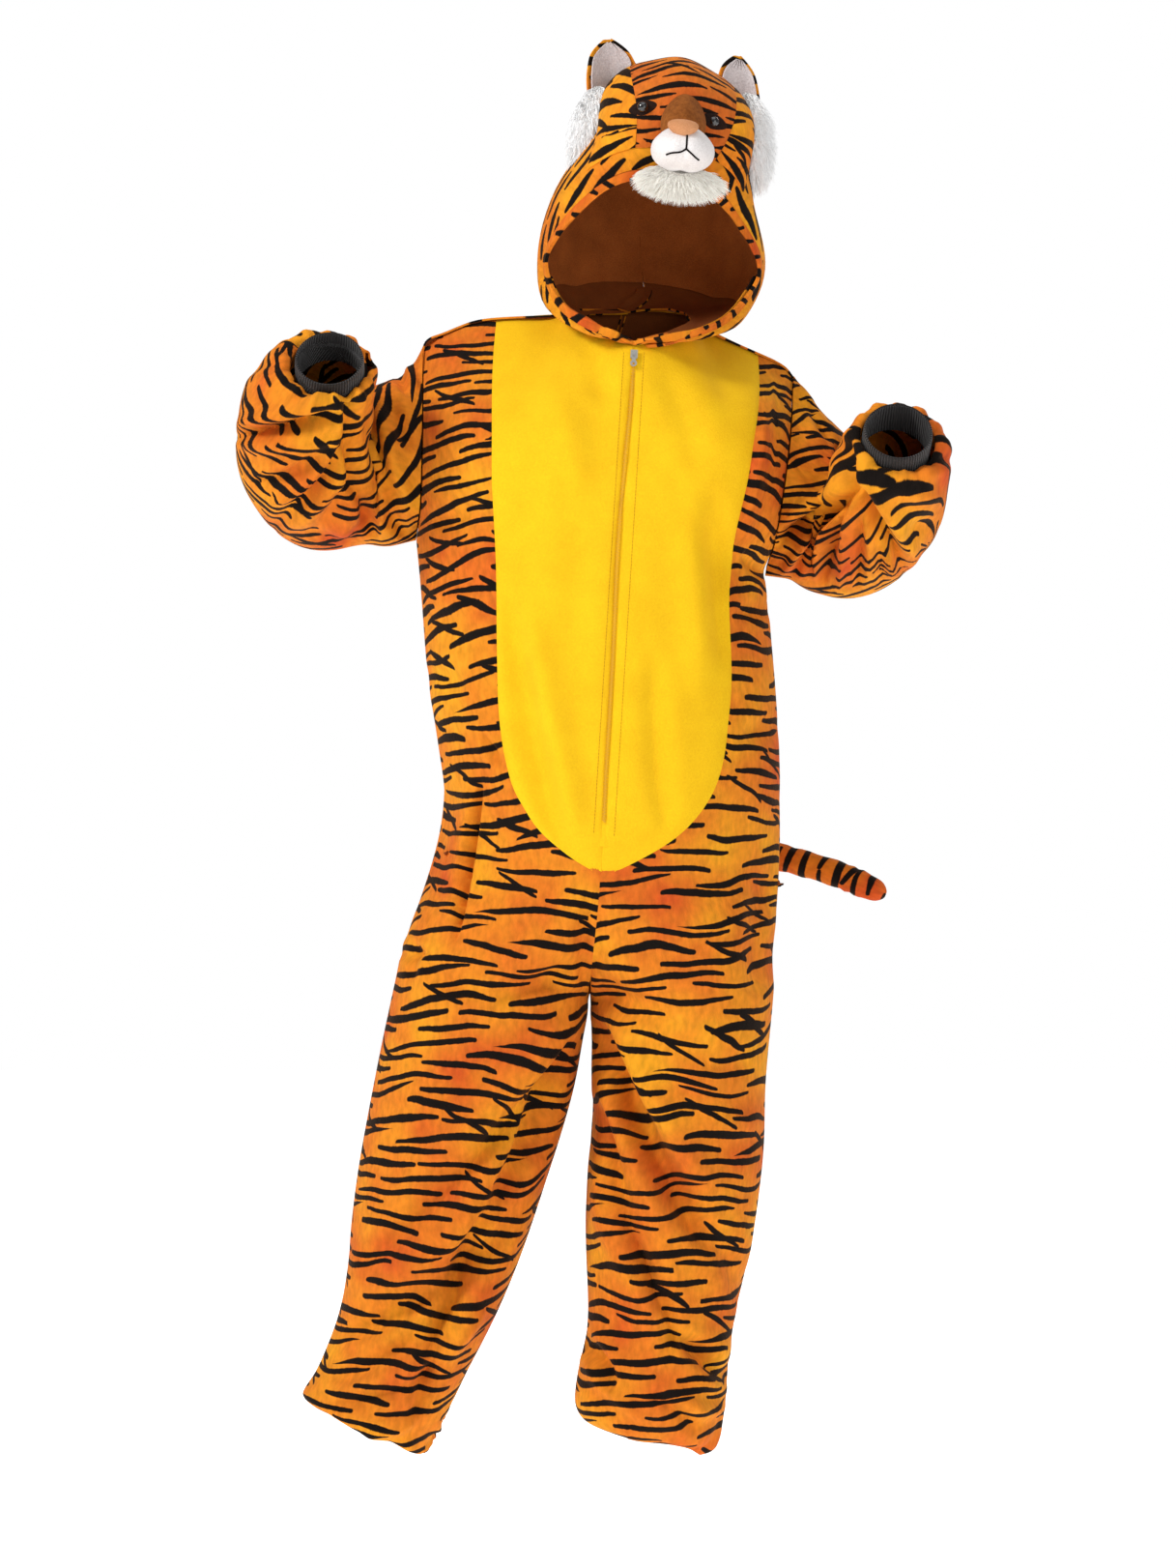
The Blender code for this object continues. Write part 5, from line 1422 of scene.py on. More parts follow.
@dataclass
class ClothPiece:
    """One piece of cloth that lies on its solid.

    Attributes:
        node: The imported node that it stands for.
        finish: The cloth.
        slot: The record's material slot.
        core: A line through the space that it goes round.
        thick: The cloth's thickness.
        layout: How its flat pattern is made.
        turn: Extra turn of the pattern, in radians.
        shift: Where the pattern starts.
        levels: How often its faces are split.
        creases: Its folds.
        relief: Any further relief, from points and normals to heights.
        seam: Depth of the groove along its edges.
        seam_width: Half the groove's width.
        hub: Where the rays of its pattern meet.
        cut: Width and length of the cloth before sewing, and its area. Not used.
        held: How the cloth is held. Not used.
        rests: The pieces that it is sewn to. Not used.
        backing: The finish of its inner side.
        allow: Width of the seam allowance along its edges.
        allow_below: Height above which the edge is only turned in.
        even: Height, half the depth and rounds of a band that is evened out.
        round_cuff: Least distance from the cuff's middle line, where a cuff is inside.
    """

    node: str
    finish: Finish
    slot: str
    core: Sequence[Sequence[float]]
    thick: float = PLUSH_THICK
    layout: Layout = Layout.PANEL
    turn: float = 0.0
    shift: tuple[float, float] = (0.0, 0.0)
    levels: int = 2
    creases: Sequence[Crease] = ()
    relief: Callable[[np.ndarray, np.ndarray], np.ndarray] | None = None
    seam: float = 0.0016
    seam_width: float = 0.007
    hub: tuple[float, float, float] | None = None
    cut: tuple[float, float, float] | None = None
    held: str = "hung"
    rests: tuple[str, ...] = ()
    backing: Finish = BACKING
    allow: float = 0.0
    allow_below: float = 1.0
    even: tuple[float, float, int] | None = None
    round_cuff: float = 0.0

    def build(self) -> bpy.types.Object:
        """Makes the cloth on its solid, with folds, seam grooves and wall.

        Returns:
            The finished piece.
        """
        core = np.array(self.core, float)
        points, faces = outer_sheet(self.node, self.thick, core)
        thing = piece_of(self.node + "_cloth", points, faces)
        quads(thing)
        if self.even:
            evened(thing, *self.even)
        if self.layout is Layout.PANEL:
            flat_pattern(thing, self.turn, self.shift)
        if self.layout is Layout.SLEEVE:
            sleeve_pattern(thing, core, self.turn, self.shift)
        subdivided(thing, self.levels)
        if self.layout is Layout.TUBE:
            tube_pattern(thing, core, self.shift)
        if self.layout is Layout.RAYS:
            ray_pattern(thing, self.hub, RAY_SPREAD)
        if self.layout is Layout.BAND:
            band_pattern(thing, self.hub, self.shift)
        self.fold(thing)
        if self.allow:
            allowance(thing, self.allow, self.thick + UNDER_LAP, self.allow_below)
        thing.data.materials.append(self.finish.made())
        thing.data.materials.append(self.backing.made())
        apply_modifier(
            thing, "SOLIDIFY", thickness=self.thick, offset=-1.0, use_even_offset=False, use_rim=True,
            material_offset=1, material_offset_rim=0,
        )
        only(thing)
        bpy.ops.object.shade_smooth_by_angle(angle=SMOOTH_ANGLE)
        dress(thing, self.finish, self.slot, GARMENT, self.node)
        return thing

    def fold(self, thing: bpy.types.Object) -> None:
        """Moves the sheet along its normals into its folds and grooves.

        Args:
            thing: The fine sheet.
        """
        points = points_of(thing)
        normals = normals_of(thing)
        height = np.zeros(len(points))
        for crease in self.creases:
            height += crease.raised(points, normals)
        border = border_of(thing)
        tree = KDTree(len(border))
        for i, spot in enumerate(points[border]):
            tree.insert(spot, i)
        tree.balance()
        far = np.array([tree.find(p)[2] for p in points])
        hold = np.clip(far / SEAM_FADE, 0, 1)
        groove = np.exp(-((far / self.seam_width) ** 2))
        height = FOLD_DEPTH * height * hold - self.seam * groove
        if self.relief:
            height += self.relief(points, normals)
        moved = points + normals * height[:, None]
        if self.round_cuff:
            end = np.array(self.core[-1], float)
            way = end - np.array(self.core[-2], float)
            way /= np.linalg.norm(way)
            off = moved - end
            radial = off - (off @ way)[:, None] * way
            reach = np.linalg.norm(radial, axis=1)
            inside = (reach < self.round_cuff) & (np.abs(off @ way) < CUFF_REACH)
            push = np.where(inside, self.round_cuff / np.maximum(reach, 0.001) - 1, 0.0)
            moved = moved + radial * push[:, None]
        move_to(thing, moved)


def dress(thing: bpy.types.Object, finish: Finish, slot: str | None, body: str, *nodes: str) -> None:
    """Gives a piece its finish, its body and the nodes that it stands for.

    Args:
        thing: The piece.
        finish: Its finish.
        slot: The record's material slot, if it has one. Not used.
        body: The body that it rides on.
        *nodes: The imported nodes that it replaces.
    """
    if not len(thing.data.materials):
        thing.data.materials.append(finish.made())
    log.info("%s: %s, %d faces", thing.name, finish.name, len(thing.data.polygons))
    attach(thing, body)
    if nodes:
        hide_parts(*nodes)


TRUNK_CORE = ((0.0, 0.0, 0.05), (0.0, 0.0, -0.72))
RIGHT_LEG_CORE = (*TRUNK_CORE, (-0.06, 0.0, -0.72), (-0.24, 0.0, -1.40))
LEFT_LEG_CORE = (*TRUNK_CORE, (0.07, 0.0, -0.72), (0.20, 0.0, -1.40))
HEAD_CORE = ((0.05, -0.01, 0.02), (0.055, -0.01, 0.22))
RIGHT_SLEEVE_CORE = (
    (-0.215, 0.022, -0.130),
    (-0.294, 0.022, -0.158),
    (-0.350, 0.030, -0.170),
    (-0.392, 0.000, -0.172),
    (-0.398, -0.0425, -0.157),
    (-0.396, -0.085, -0.122),
    (-0.390, -0.122, -0.086),
    (-0.365, -0.151, -0.059),
    (-0.3622, -0.170, -0.0458),
)
LEFT_SLEEVE_CORE = (
    (0.175, 0.020, -0.150),
    (0.220, 0.022, -0.200),
    (0.270, 0.0325, -0.232),
    (0.305, 0.000, -0.232),
    (0.313, -0.0325, -0.217),
    (0.318, -0.085, -0.186),
    (0.324, -0.125, -0.164),
    (0.3245, -0.170, -0.133),
)


@dataclass
class Studio:
    """Camera, soft lights and pale floor.

    Attributes:
        distance: Camera to the object.
        target: What the camera looks at.
        seen: Height of what the frame shows at that distance.
        floor: Height of the floor.
    """

    distance: float = 6.0
    target: tuple[float, float, float] = (-0.05, 0.0, -0.559)
    seen: float = 1.946
    floor: float = -1.448

    def build(self) -> None:
        """Makes the camera, the lights, the world and the floor."""
        data = bpy.data.cameras.new("camera")
        camera = bpy.data.objects.new("camera", data)
        bpy.context.scene.collection.objects.link(camera)
        camera.location = (self.target[0], -self.distance, self.target[2])
        camera.rotation_euler = (math.pi / 2, 0.0, 0.0)
        data.sensor_width = 36.0
        data.lens = 18.0 * self.distance / (self.seen / 2)
        data.clip_end = 60.0
        bpy.context.scene.camera = camera
        world = bpy.data.worlds.new("studio")
        world.use_nodes = True
        tree = world.node_tree
        lit = tree.nodes["Background"]
        lit.inputs[0].default_value = (1.0, 1.0, 1.0, 1.0)
        lit.inputs[1].default_value = 0.30
        seen = add(tree, "Background", {"Color": (1.0, 1.0, 1.0, 1.0), "Strength": 1.0})
        ray = add(tree, "LightPath")
        both = add(tree, "MixShader", {0: ray.outputs["Is Camera Ray"], 1: lit, 2: seen})
        tree.links.new(both.outputs[0], tree.nodes["World Output"].inputs["Surface"])
        bpy.context.scene.world = world
        bpy.context.scene.view_settings.view_transform = "Standard"
        self.lamp("key", (-3.6, -2.6, 2.6), 1.2, 165.0)
        self.lamp("fill", (2.4, -4.6, 0.3), 3.0, 42.0)
        self.lamp("back", (1.8, 3.2, 2.4), 2.4, 70.0)
        self.lamp("top", (0.0, -1.4, 3.4), 3.4, 45.0)
        far = 9.0
        corners = [(x, y, self.floor) for x, y in ((-far, -far), (far, -far), (far, far), (-far, far))]
        floor = piece_of("floor", np.array(corners), [(0, 1, 2, 3)])
        floor.data.materials.append(Paper("studio_paper").made())
        floor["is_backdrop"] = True

    def lamp(self, name: str, place: tuple[float, float, float], size: float, power: float) -> None:
        """Adds one square soft light that points at the object.

        Args:
            name: The light's name.
            place: Where it stands.
            size: Its side.
            power: Its power in watts.
        """
        data = bpy.data.lights.new(name, "AREA")
        data.size = size
        data.energy = power
        lamp = bpy.data.objects.new(name, data)
        bpy.context.scene.collection.objects.link(lamp)
        lamp.location = place
        way = Vector(self.target) - Vector(place)
        lamp.rotation_euler = way.to_track_quat("-Z", "Y").to_euler()


@dataclass
class Jumpsuit:
    """The four long panels of tiger plush and the two yellow belly panels.

    Attributes:
        hem: Height of the leg ends.
        scallops: Gathers round a leg end.
    """

    hem: float = -1.395
    scallops: int = 15

    def gathers(self, points: np.ndarray, normals: np.ndarray) -> np.ndarray:
        """Small puffed gathers above the elastic of the leg ends.

        Args:
            points: Points of the cloth.
            normals: The cloth's normals. Not used.

        Returns:
            One height for each point.
        """
        centre = np.where(points[:, 0] < 0.0, -0.235, 0.195)
        angle = np.arctan2(points[:, 1], points[:, 0] - centre)
        near = np.exp(-(((points[:, 2] - self.hem - 0.010) / 0.040) ** 2))
        wave = np.sin(angle * self.scallops) + 0.7 * np.sin(angle * 8 + 1.0)
        wave = wave + 0.4 * np.sin(angle * 27 + 0.4)
        return 0.0034 * (wave + 0.4) * near

    def build(self) -> None:
        """Builds every panel."""
        cut_pieces = (
            ("front_right", RIGHT_LEG_CORE, (0.31, 0.12), FRONT_RIGHT_CREASES, (0.438, 1.469, 0.3452)),
            ("front_left", LEFT_LEG_CORE, (0.74, 0.55), FRONT_LEFT_CREASES, (0.402, 1.422, 0.3162)),
            ("back_right", RIGHT_LEG_CORE, (1.13, 0.31), BACK_RIGHT_CREASES, (0.444, 1.499, 0.4159)),
            ("back_left", LEFT_LEG_CORE, (1.55, 0.77), BACK_LEFT_CREASES, (0.395, 1.471, 0.4291)),
        )
        rests = ("back_right", "back_left", "front_right", "front_left")
        panels = [
            ClothPiece(
                node, PLUSH, "tiger_plush", core, shift=shift, levels=3, creases=creases,
                relief=self.gathers, even=HIP, allow=PANEL_ALLOWANCE, cut=cut, rests=(rest,),
            )
            for (node, core, shift, creases, cut), rest in zip(cut_pieces, rests, strict=True)
        ]
        panels += [
            ClothPiece(
                "belly_right", BELLY_FLEECE, "belly_fleece", TRUNK_CORE, creases=BELLY_RIGHT_CREASES,
                allow=0.005, cut=(0.194, 0.748, 0.1004), rests=("front_right",),
            ),
            ClothPiece(
                "belly_left", BELLY_FLEECE, "belly_fleece", TRUNK_CORE, creases=BELLY_LEFT_CREASES,
                allow=0.005, cut=(0.251, 0.724, 0.0997), rests=("front_left",),
            ),
        ]
        for panel in panels:
            panel.build()


@dataclass
class Sleeves:
    """The sleeves and their rib cuffs."""

    def puff(self, core: Sequence[Sequence[float]]) -> Callable[[np.ndarray, np.ndarray], np.ndarray]:
        """Makes the relief of the cloth gathered into a cuff.

        Args:
            core: The line through the sleeve.

        Returns:
            A function from points and normals to heights.
        """
        end = np.array(core[-1], float)
        way = end - np.array(core[-2], float)
        way /= np.linalg.norm(way)
        side = np.cross(way, np.array([0.3, 0.2, 1.0]))
        side /= np.linalg.norm(side)
        other = np.cross(way, side)

        def relief(points: np.ndarray, normals: np.ndarray) -> np.ndarray:
            off = points - end
            angle = np.arctan2(off @ other, off @ side)
            far = np.linalg.norm(off, axis=1)
            near = np.exp(-(((far - 0.058) / 0.030) ** 2))
            wave = np.sin(angle * 13) + 0.6 * np.sin(angle * 7 + 1.3) + 0.3 * np.sin(angle * 29)
            return (0.0016 + 0.0018 * (wave + 1.9)) * near

        return relief

    def build(self) -> None:
        """Builds both sleeves and both cuffs."""
        parts = (
            ClothPiece(
                "sleeve_right", PLUSH_SLEEVE, "tiger_plush", RIGHT_SLEEVE_CORE,
                layout=Layout.SLEEVE, shift=(0.2, 0.1), levels=3, creases=RIGHT_SLEEVE_CREASES,
                relief=self.puff(RIGHT_SLEEVE_CORE), seam=0.0, round_cuff=CUFF_CLEAR,
                backing=PLUSH_SLEEVE, cut=(0.497, 0.416, 0.1993),
                held="gathered", rests=("front_right", "back_right"),
            ),
            ClothPiece(
                "sleeve_left", PLUSH_SLEEVE, "tiger_plush", LEFT_SLEEVE_CORE, layout=Layout.SLEEVE,
                shift=(0.9, 0.4), levels=3, creases=LEFT_SLEEVE_CREASES,
                relief=self.puff(LEFT_SLEEVE_CORE), seam=0.0, round_cuff=CUFF_CLEAR, backing=PLUSH_SLEEVE,
                cut=(0.462, 0.382, 0.1719), held="gathered", rests=("front_left", "back_left"),
            ),
            ClothPiece(
                "cuff_right", RIB_BLACK, "black_rib", RIGHT_SLEEVE_CORE[-3:], thick=0.002,
                layout=Layout.TUBE, seam=0.0, backing=RIB_BLACK, cut=(0.261, 0.054, 0.0140),
                held="stretched", rests=("sleeve_right",),
            ),
            ClothPiece(
                "cuff_left", RIB_BLACK, "black_rib", LEFT_SLEEVE_CORE[-3:], thick=0.002,
                layout=Layout.TUBE, seam=0.0, backing=RIB_BLACK, cut=(0.261, 0.054, 0.0137),
                held="stretched", rests=("sleeve_left",),
            ),
        )
        for part in parts:
            part.build()


@dataclass
class Hood:
    """The hood's halves, its casing, its lining, its ears and its face panels."""

    def build(self) -> None:
        """Builds the hood's cloth."""
        parts = (
            ClothPiece(
                "hood_right", PLUSH_HOOD, "tiger_plush", HEAD_CORE, turn=1.85, shift=(0.1, 0.2),
                allow=0.010, allow_below=0.064,
                cut=(0.454, 0.440, 0.1100), rests=("back_right", "front_right"),
            ),
            ClothPiece(
                "hood_left", PLUSH_HOOD, "tiger_plush", HEAD_CORE, turn=-1.85, shift=(0.5, 0.9),
                allow=0.010, allow_below=0.064,
                cut=(0.446, 0.446, 0.1118), rests=("back_left", "front_left"),
            ),
            ClothPiece(
                "hood_band", PLUSH_BAND, "tiger_plush", HEAD_CORE, thick=0.0042, seam=0.0008,
                layout=Layout.BAND, hub=(0.055, 0.0, 0.09), cut=(0.720, 0.0115, 0.0080),
                held="gathered", rests=("hood_right", "hood_left"),
            ),
            ClothPiece(
                "hood_lining", LINING_JERSEY, "brown_lining", HEAD_CORE, thick=LINING_THICK, seam=0.0,
                backing=LINING_JERSEY, cut=(0.665, 0.497, 0.1873), rests=("hood_right", "hood_left"),
            ),
            ClothPiece(
                "ear_right", PLUSH_HOOD, "tiger_plush", HEAD_CORE, levels=3, seam=0.0, backing=PLUSH_HOOD,
                cut=(0.073, 0.085, 0.0034), held="laid", rests=("hood_right",),
            ),
            ClothPiece(
                "ear_left", PLUSH_HOOD, "tiger_plush", HEAD_CORE, levels=3, seam=0.0, backing=PLUSH_HOOD,
                cut=(0.067, 0.088, 0.0030), held="laid", rests=("hood_left",),
            ),
            ClothPiece(
                "ear_lining_right", EAR_PLUSH, "white_plush", HEAD_CORE, thick=0.0015, seam=0.0,
                backing=EAR_PLUSH, cut=(0.058, 0.080, 0.0026), held="laid", rests=("ear_right",),
            ),
            ClothPiece(
                "ear_lining_left", EAR_PLUSH, "white_plush", HEAD_CORE, thick=0.0015, seam=0.0,
                backing=EAR_PLUSH, cut=(0.059, 0.081, 0.0023), held="laid", rests=("ear_left",),
            ),
            ClothPiece(
                "face_centre", PLUSH_FACE, "tiger_plush", HEAD_CORE, levels=3, turn=0.1,
                cut=(0.138, 0.195, 0.0232), held="laid", rests=("hood_right", "hood_left"),
            ),
            ClothPiece(
                "face_right", PLUSH_CHEEK, "tiger_plush", HEAD_CORE, levels=3,
                layout=Layout.RAYS, hub=(0.050, -0.160, 0.243),
                cut=(0.125, 0.165, 0.0120), held="laid", rests=("hood_right",),
            ),
            ClothPiece(
                "face_left", PLUSH_CHEEK, "tiger_plush", HEAD_CORE, levels=3, layout=Layout.RAYS,
                hub=(0.080, -0.150, 0.235), cut=(0.120, 0.165, 0.0121), held="laid", rests=("hood_left",),
            ),
        )
        for part in parts:
            part.build()


def tube(name: str, path: np.ndarray, radii: Sequence[float], sides: int = 8) -> bpy.types.Object:
    """Makes a closed tube along a path, as a thread or a piping.

    Args:
        name: The piece's name.
        path: The points along its middle.
        radii: Its radius at each point.
        sides: Faces round it.

    Returns:
        The tube, closed at both ends.
    """
    ways = np.gradient(path, axis=0)
    ways = unit_rows(ways)
    up = np.cross(ways, np.array([0.0, -1.0, 0.15]))
    up = unit_rows(up)
    side = np.cross(up, ways)
    turns = np.linspace(0, 2 * math.pi, sides, endpoint=False)
    rings = (
        path[:, None, :]
        + np.array(radii)[:, None, None]
        * (np.cos(turns)[None, :, None] * up[:, None, :] + np.sin(turns)[None, :, None] * side[:, None, :])
    )
    count = len(path)
    faces = ring_faces(count, sides)
    faces.append(list(range(sides))[::-1])
    faces.append([(count - 1) * sides + j for j in range(sides)])
    thing = piece_of(name, rings.reshape(-1, 3), faces)
    outwards(thing)
    return thing


def outwards(thing: bpy.types.Object) -> None:
    """Turns every face of a closed mesh to the outside."""
    with editing(thing):
        bpy.ops.mesh.normals_make_consistent(inside=False)


def joined(name: str, parts: Sequence[bpy.types.Object]) -> bpy.types.Object:
    """Joins several meshes into one piece.

    Args:
        name: The piece's name.
        parts: The meshes.

    Returns:
        The one piece.
    """
    deselect_all()
    for part in parts:
        part.select_set(True)
    bpy.context.view_layer.objects.active = parts[0]
    if len(parts) > 1:
        bpy.ops.object.join()
    parts[0].name = name
    parts[0].data.name = name
    return parts[0]


def surface_of(thing: bpy.types.Object) -> BVHTree:
    """Returns a tree of the piece's faces for casting rays."""
    mesh = thing.data
    points = [v.co[:] for v in mesh.vertices]
    return BVHTree.FromPolygons(points, [list(p.vertices) for p in mesh.polygons])


def cast(
    surfaces: Sequence[BVHTree], spots: Sequence[tuple[float, float]], start: float = -0.5
) -> tuple[np.ndarray, np.ndarray]:
    """Drops points given in x and z on the first surface behind them.

    Args:
        surfaces: What they may land on.
        spots: The points as x and z.
        start: Where the rays start in y.

    Returns:
        The places that were hit, and the surface's normal at each one.
    """
    places: list[Vector] = []
    normals: list[Vector] = []
    for x, z in spots:
        hits = [s.ray_cast(Vector((x, start, z)), Vector((0, 1, 0))) for s in surfaces]
        hits = [h for h in hits if h[0] is not None]
        if not hits:
            continue
        first = min(hits, key=lambda h: h[0].y)
        places.append(first[0])
        normals.append(first[1])
    return np.array(places), np.array(normals)


def along_path(corners: Sequence[Sequence[float]], count: int) -> np.ndarray:
    """Spreads points evenly along a smooth line through corners.

    Args:
        corners: The points that it goes through.
        count: How many points to make.

    Returns:
        The points.
    """
    rough = np.array(corners, float)
    padded = np.vstack([2 * rough[0] - rough[1], rough, 2 * rough[-1] - rough[-2]])
    line: list[np.ndarray] = []
    for i in range(len(rough) - 1):
        a, b, c, d = padded[i : i + 4]
        for t in np.linspace(0, 1, 24, endpoint=False):
            square = (2 * a - 5 * b + 4 * c - d) * t**2
            cube = (3 * b - a - 3 * c + d) * t**3
            line.append(0.5 * (2 * b + (c - a) * t + square + cube))
    line.append(rough[-1])
    curve = np.array(line)
    return places_at(curve, np.linspace(0, lengths_of(curve)[-1], count))


@dataclass
class PlushForm:
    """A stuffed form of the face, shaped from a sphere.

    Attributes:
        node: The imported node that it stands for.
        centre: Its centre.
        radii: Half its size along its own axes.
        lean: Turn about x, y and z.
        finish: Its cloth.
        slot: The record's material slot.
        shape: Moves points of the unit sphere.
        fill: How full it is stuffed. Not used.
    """

    node: str
    centre: tuple[float, float, float]
    radii: tuple[float, float, float]
    lean: tuple[float, float, float]
    finish: Finish
    slot: str
    shape: Callable[[np.ndarray], np.ndarray]
    fill: float = 0.8

    def build(self) -> bpy.types.Object:
        """Shapes the sphere, puts it in place and dresses it.

        Returns:
            The finished piece.
        """
        deselect_all()
        bpy.ops.mesh.primitive_uv_sphere_add(segments=72, ring_count=48, radius=1.0)
        thing = bpy.context.object
        thing.name = self.node + "_plush"
        thing.data.name = thing.name
        ball = self.shape(points_of(thing))
        a, b, c = self.lean
        spin_x = np.array([[1, 0, 0], [0, math.cos(a), -math.sin(a)], [0, math.sin(a), math.cos(a)]])
        spin_y = np.array([[math.cos(b), 0, math.sin(b)], [0, 1, 0], [-math.sin(b), 0, math.cos(b)]])
        spin_z = np.array([[math.cos(c), -math.sin(c), 0], [math.sin(c), math.cos(c), 0], [0, 0, 1]])
        turn = spin_z @ spin_y @ spin_x
        move_to(thing, (ball * np.array(self.radii)) @ turn.T + np.array(self.centre))
        only(thing)
        bpy.ops.object.shade_smooth()
        dress(thing, self.finish, self.slot, GARMENT, self.node)
        return thing


def muzzle_shape(ball: np.ndarray) -> np.ndarray:
    """Two soft lobes that widen below, with a groove where they are sewn together."""
    x, y, z = ball.T.copy()
    wide = 1.0 + 0.10 * np.clip(-z, -1, 1) - 0.16 * np.clip(z - 0.2, 0, 1)
    front = np.clip(-y, 0, 1)
    groove = np.exp(-((x / 0.10) ** 2)) * front * np.clip(0.75 - z, 0, 1)
    lobes = 0.05 * np.exp(-(((np.abs(x) - 0.45) / 0.33) ** 2)) * front
    out = ball.copy()
    out[:, 0] = x * wide
    out[:, 1] = y * (1 - 0.045 * groove + lobes) + 0.04 * groove
    lift = np.exp(-((x / 0.16) ** 2)) * np.clip(-z - 0.55, 0, 1)
    out[:, 2] = z + 0.22 * lift
    out[:, 0] = np.sign(out[:, 0]) * np.abs(out[:, 0]) ** 0.92
    return out


def bridge_shape(ball: np.ndarray) -> np.ndarray:
    """A rounded triangle, narrow towards the crown."""
    out = ball.copy()
    z = ball[:, 2]
    out[:, 0] = ball[:, 0] * (1.0 - 0.30 * np.clip(z, -1, 1))
    pile = 0.02 * np.sin(ball[:, 2] * 19 + ball[:, 0] * 3) * np.clip(-ball[:, 1], 0, 1)
    return out * (1 + pile)[:, None]


def nose_shape(ball: np.ndarray) -> np.ndarray:
    """A rounded triangle, flat on top and pointed below, with two small dents."""
    out = ball.copy()
    x, y, z = ball.T
    out[:, 0] = x * (1.0 + 0.22 * np.clip(z, -1, 1))
    out[:, 2] = z * (1 - 0.10 * np.clip(z, 0, 1))
    for side in (-0.42, 0.42):
        dent = np.exp(-(((x - side) / 0.16) ** 2) - (((z + 0.25) / 0.22) ** 2))
        out[:, 1] += 0.10 * dent * np.clip(-y, 0, 1)
    return out


@dataclass
class FurTuft:
    """Long hair on a form, as many tapered strands in one mesh.

    Attributes:
        node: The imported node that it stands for.
        finish: The hair's finish.
        slot: The record's material slot.
        count: How many strands.
        long: A strand's usual length.
        comb: The way that the hair is brushed.
        flare: How much it stands away from the form.
        thick: A strand's radius at its root.
        seed: Start of the random numbers.
        shrink: How far the roots lie under the solid's face.
        fan: How much the hair spreads to the sides with distance from the middle.
    """

    node: str
    finish: Finish
    slot: str
    count: int
    long: float
    comb: tuple[float, float, float]
    flare: float
    thick: float
    seed: int
    shrink: float = 0.008
    fan: float = 0.0

    def build(self) -> bpy.types.Object:
        """Makes the form under the hair and the hair on it.

        Returns:
            The finished piece.
        """
        points, faces = merged_copy(self.node)
        luck = np.random.default_rng(self.seed)
        corners = points[faces]
        cross = np.cross(corners[:, 1] - corners[:, 0], corners[:, 2] - corners[:, 0])
        areas = np.linalg.norm(cross, axis=1)
        centre = points.mean(0)
        pick = luck.choice(len(faces), self.count, p=areas / areas.sum())
        a, b = luck.random((2, self.count))
        flip = a + b > 1
        a[flip], b[flip] = 1 - a[flip], 1 - b[flip]
        tri = corners[pick]
        roots = tri[:, 0] + a[:, None] * (tri[:, 1] - tri[:, 0]) + b[:, None] * (tri[:, 2] - tri[:, 0])
        normals = cross[pick] / areas[pick][:, None]
        rounded = roots - centre
        rounded = unit_rows(rounded)
        normals = normals * 0.5 + rounded * 0.5
        normals = unit_rows(normals)
        roots = roots - normals * self.shrink
        comb = np.array(self.comb) / np.linalg.norm(self.comb)
        clump = np.sin(roots @ np.array([410.0, 260.0, 330.0])) * 0.5
        first = normals * (0.75 + self.flare) + comb * 0.35 + luck.normal(0, 0.16, (self.count, 3))
        last = normals * self.flare + comb + luck.normal(0, 0.14, (self.count, 3))
        last[:, 0] += clump * 0.22 + self.fan * (roots[:, 0] - centre[0])
        last[:, 2] += clump * 0.10
        first = unit_rows(first)
        last = unit_rows(last)
        long = self.long * (0.62 + 0.55 * luck.random(self.count))
        steps = (0.0, 0.33, 0.68, 1.0)
        girths = (1.0, 0.85, 0.5, 0.06)
        rings = []
        for step, girth in zip(steps, girths, strict=True):
            spot = roots + long[:, None] * (first * step + (last - first) * step**2 * 0.62)
            way = first + 2 * (last - first) * step * 0.62
            way = unit_rows(way)
            side = np.cross(way, np.array([0.3, 0.9, 0.31]))
            side = unit_rows(side)
            other = np.cross(way, side)
            for turn in (0.0, 2.094, 4.189):
                rings.append(spot + self.thick * girth * (math.cos(turn) * side + math.sin(turn) * other))
        made = np.stack(rings, 1)
        base = np.arange(self.count)[:, None, None] * 12
        hair_faces = (base + np.array(ring_faces(len(steps), 3))[None]).reshape(-1, 4)
        thing = piece_of(self.node + "_fur", made.reshape(-1, 3), hair_faces)
        level = np.repeat(np.array(steps), 3)
        tone = luck.random(self.count)
        loops = numbers(thing.data.loops, "vertex_index", 1, int)
        lay_out(thing, np.c_[tone[loops // 12], level[loops % 12]])
        only(thing)
        bpy.ops.object.shade_smooth()
        under = piece_of(self.node + "_fur_base", centre + (points - centre) * 0.86, faces)
        apply_modifier(under, "SUBSURF", levels=1, render_levels=1)
        under.data.uv_layers.new(name=CLOTH_UV)
        whole = joined(self.node + "_fur", [thing, under])
        dress(whole, self.finish, self.slot, GARMENT, self.node)
        return whole


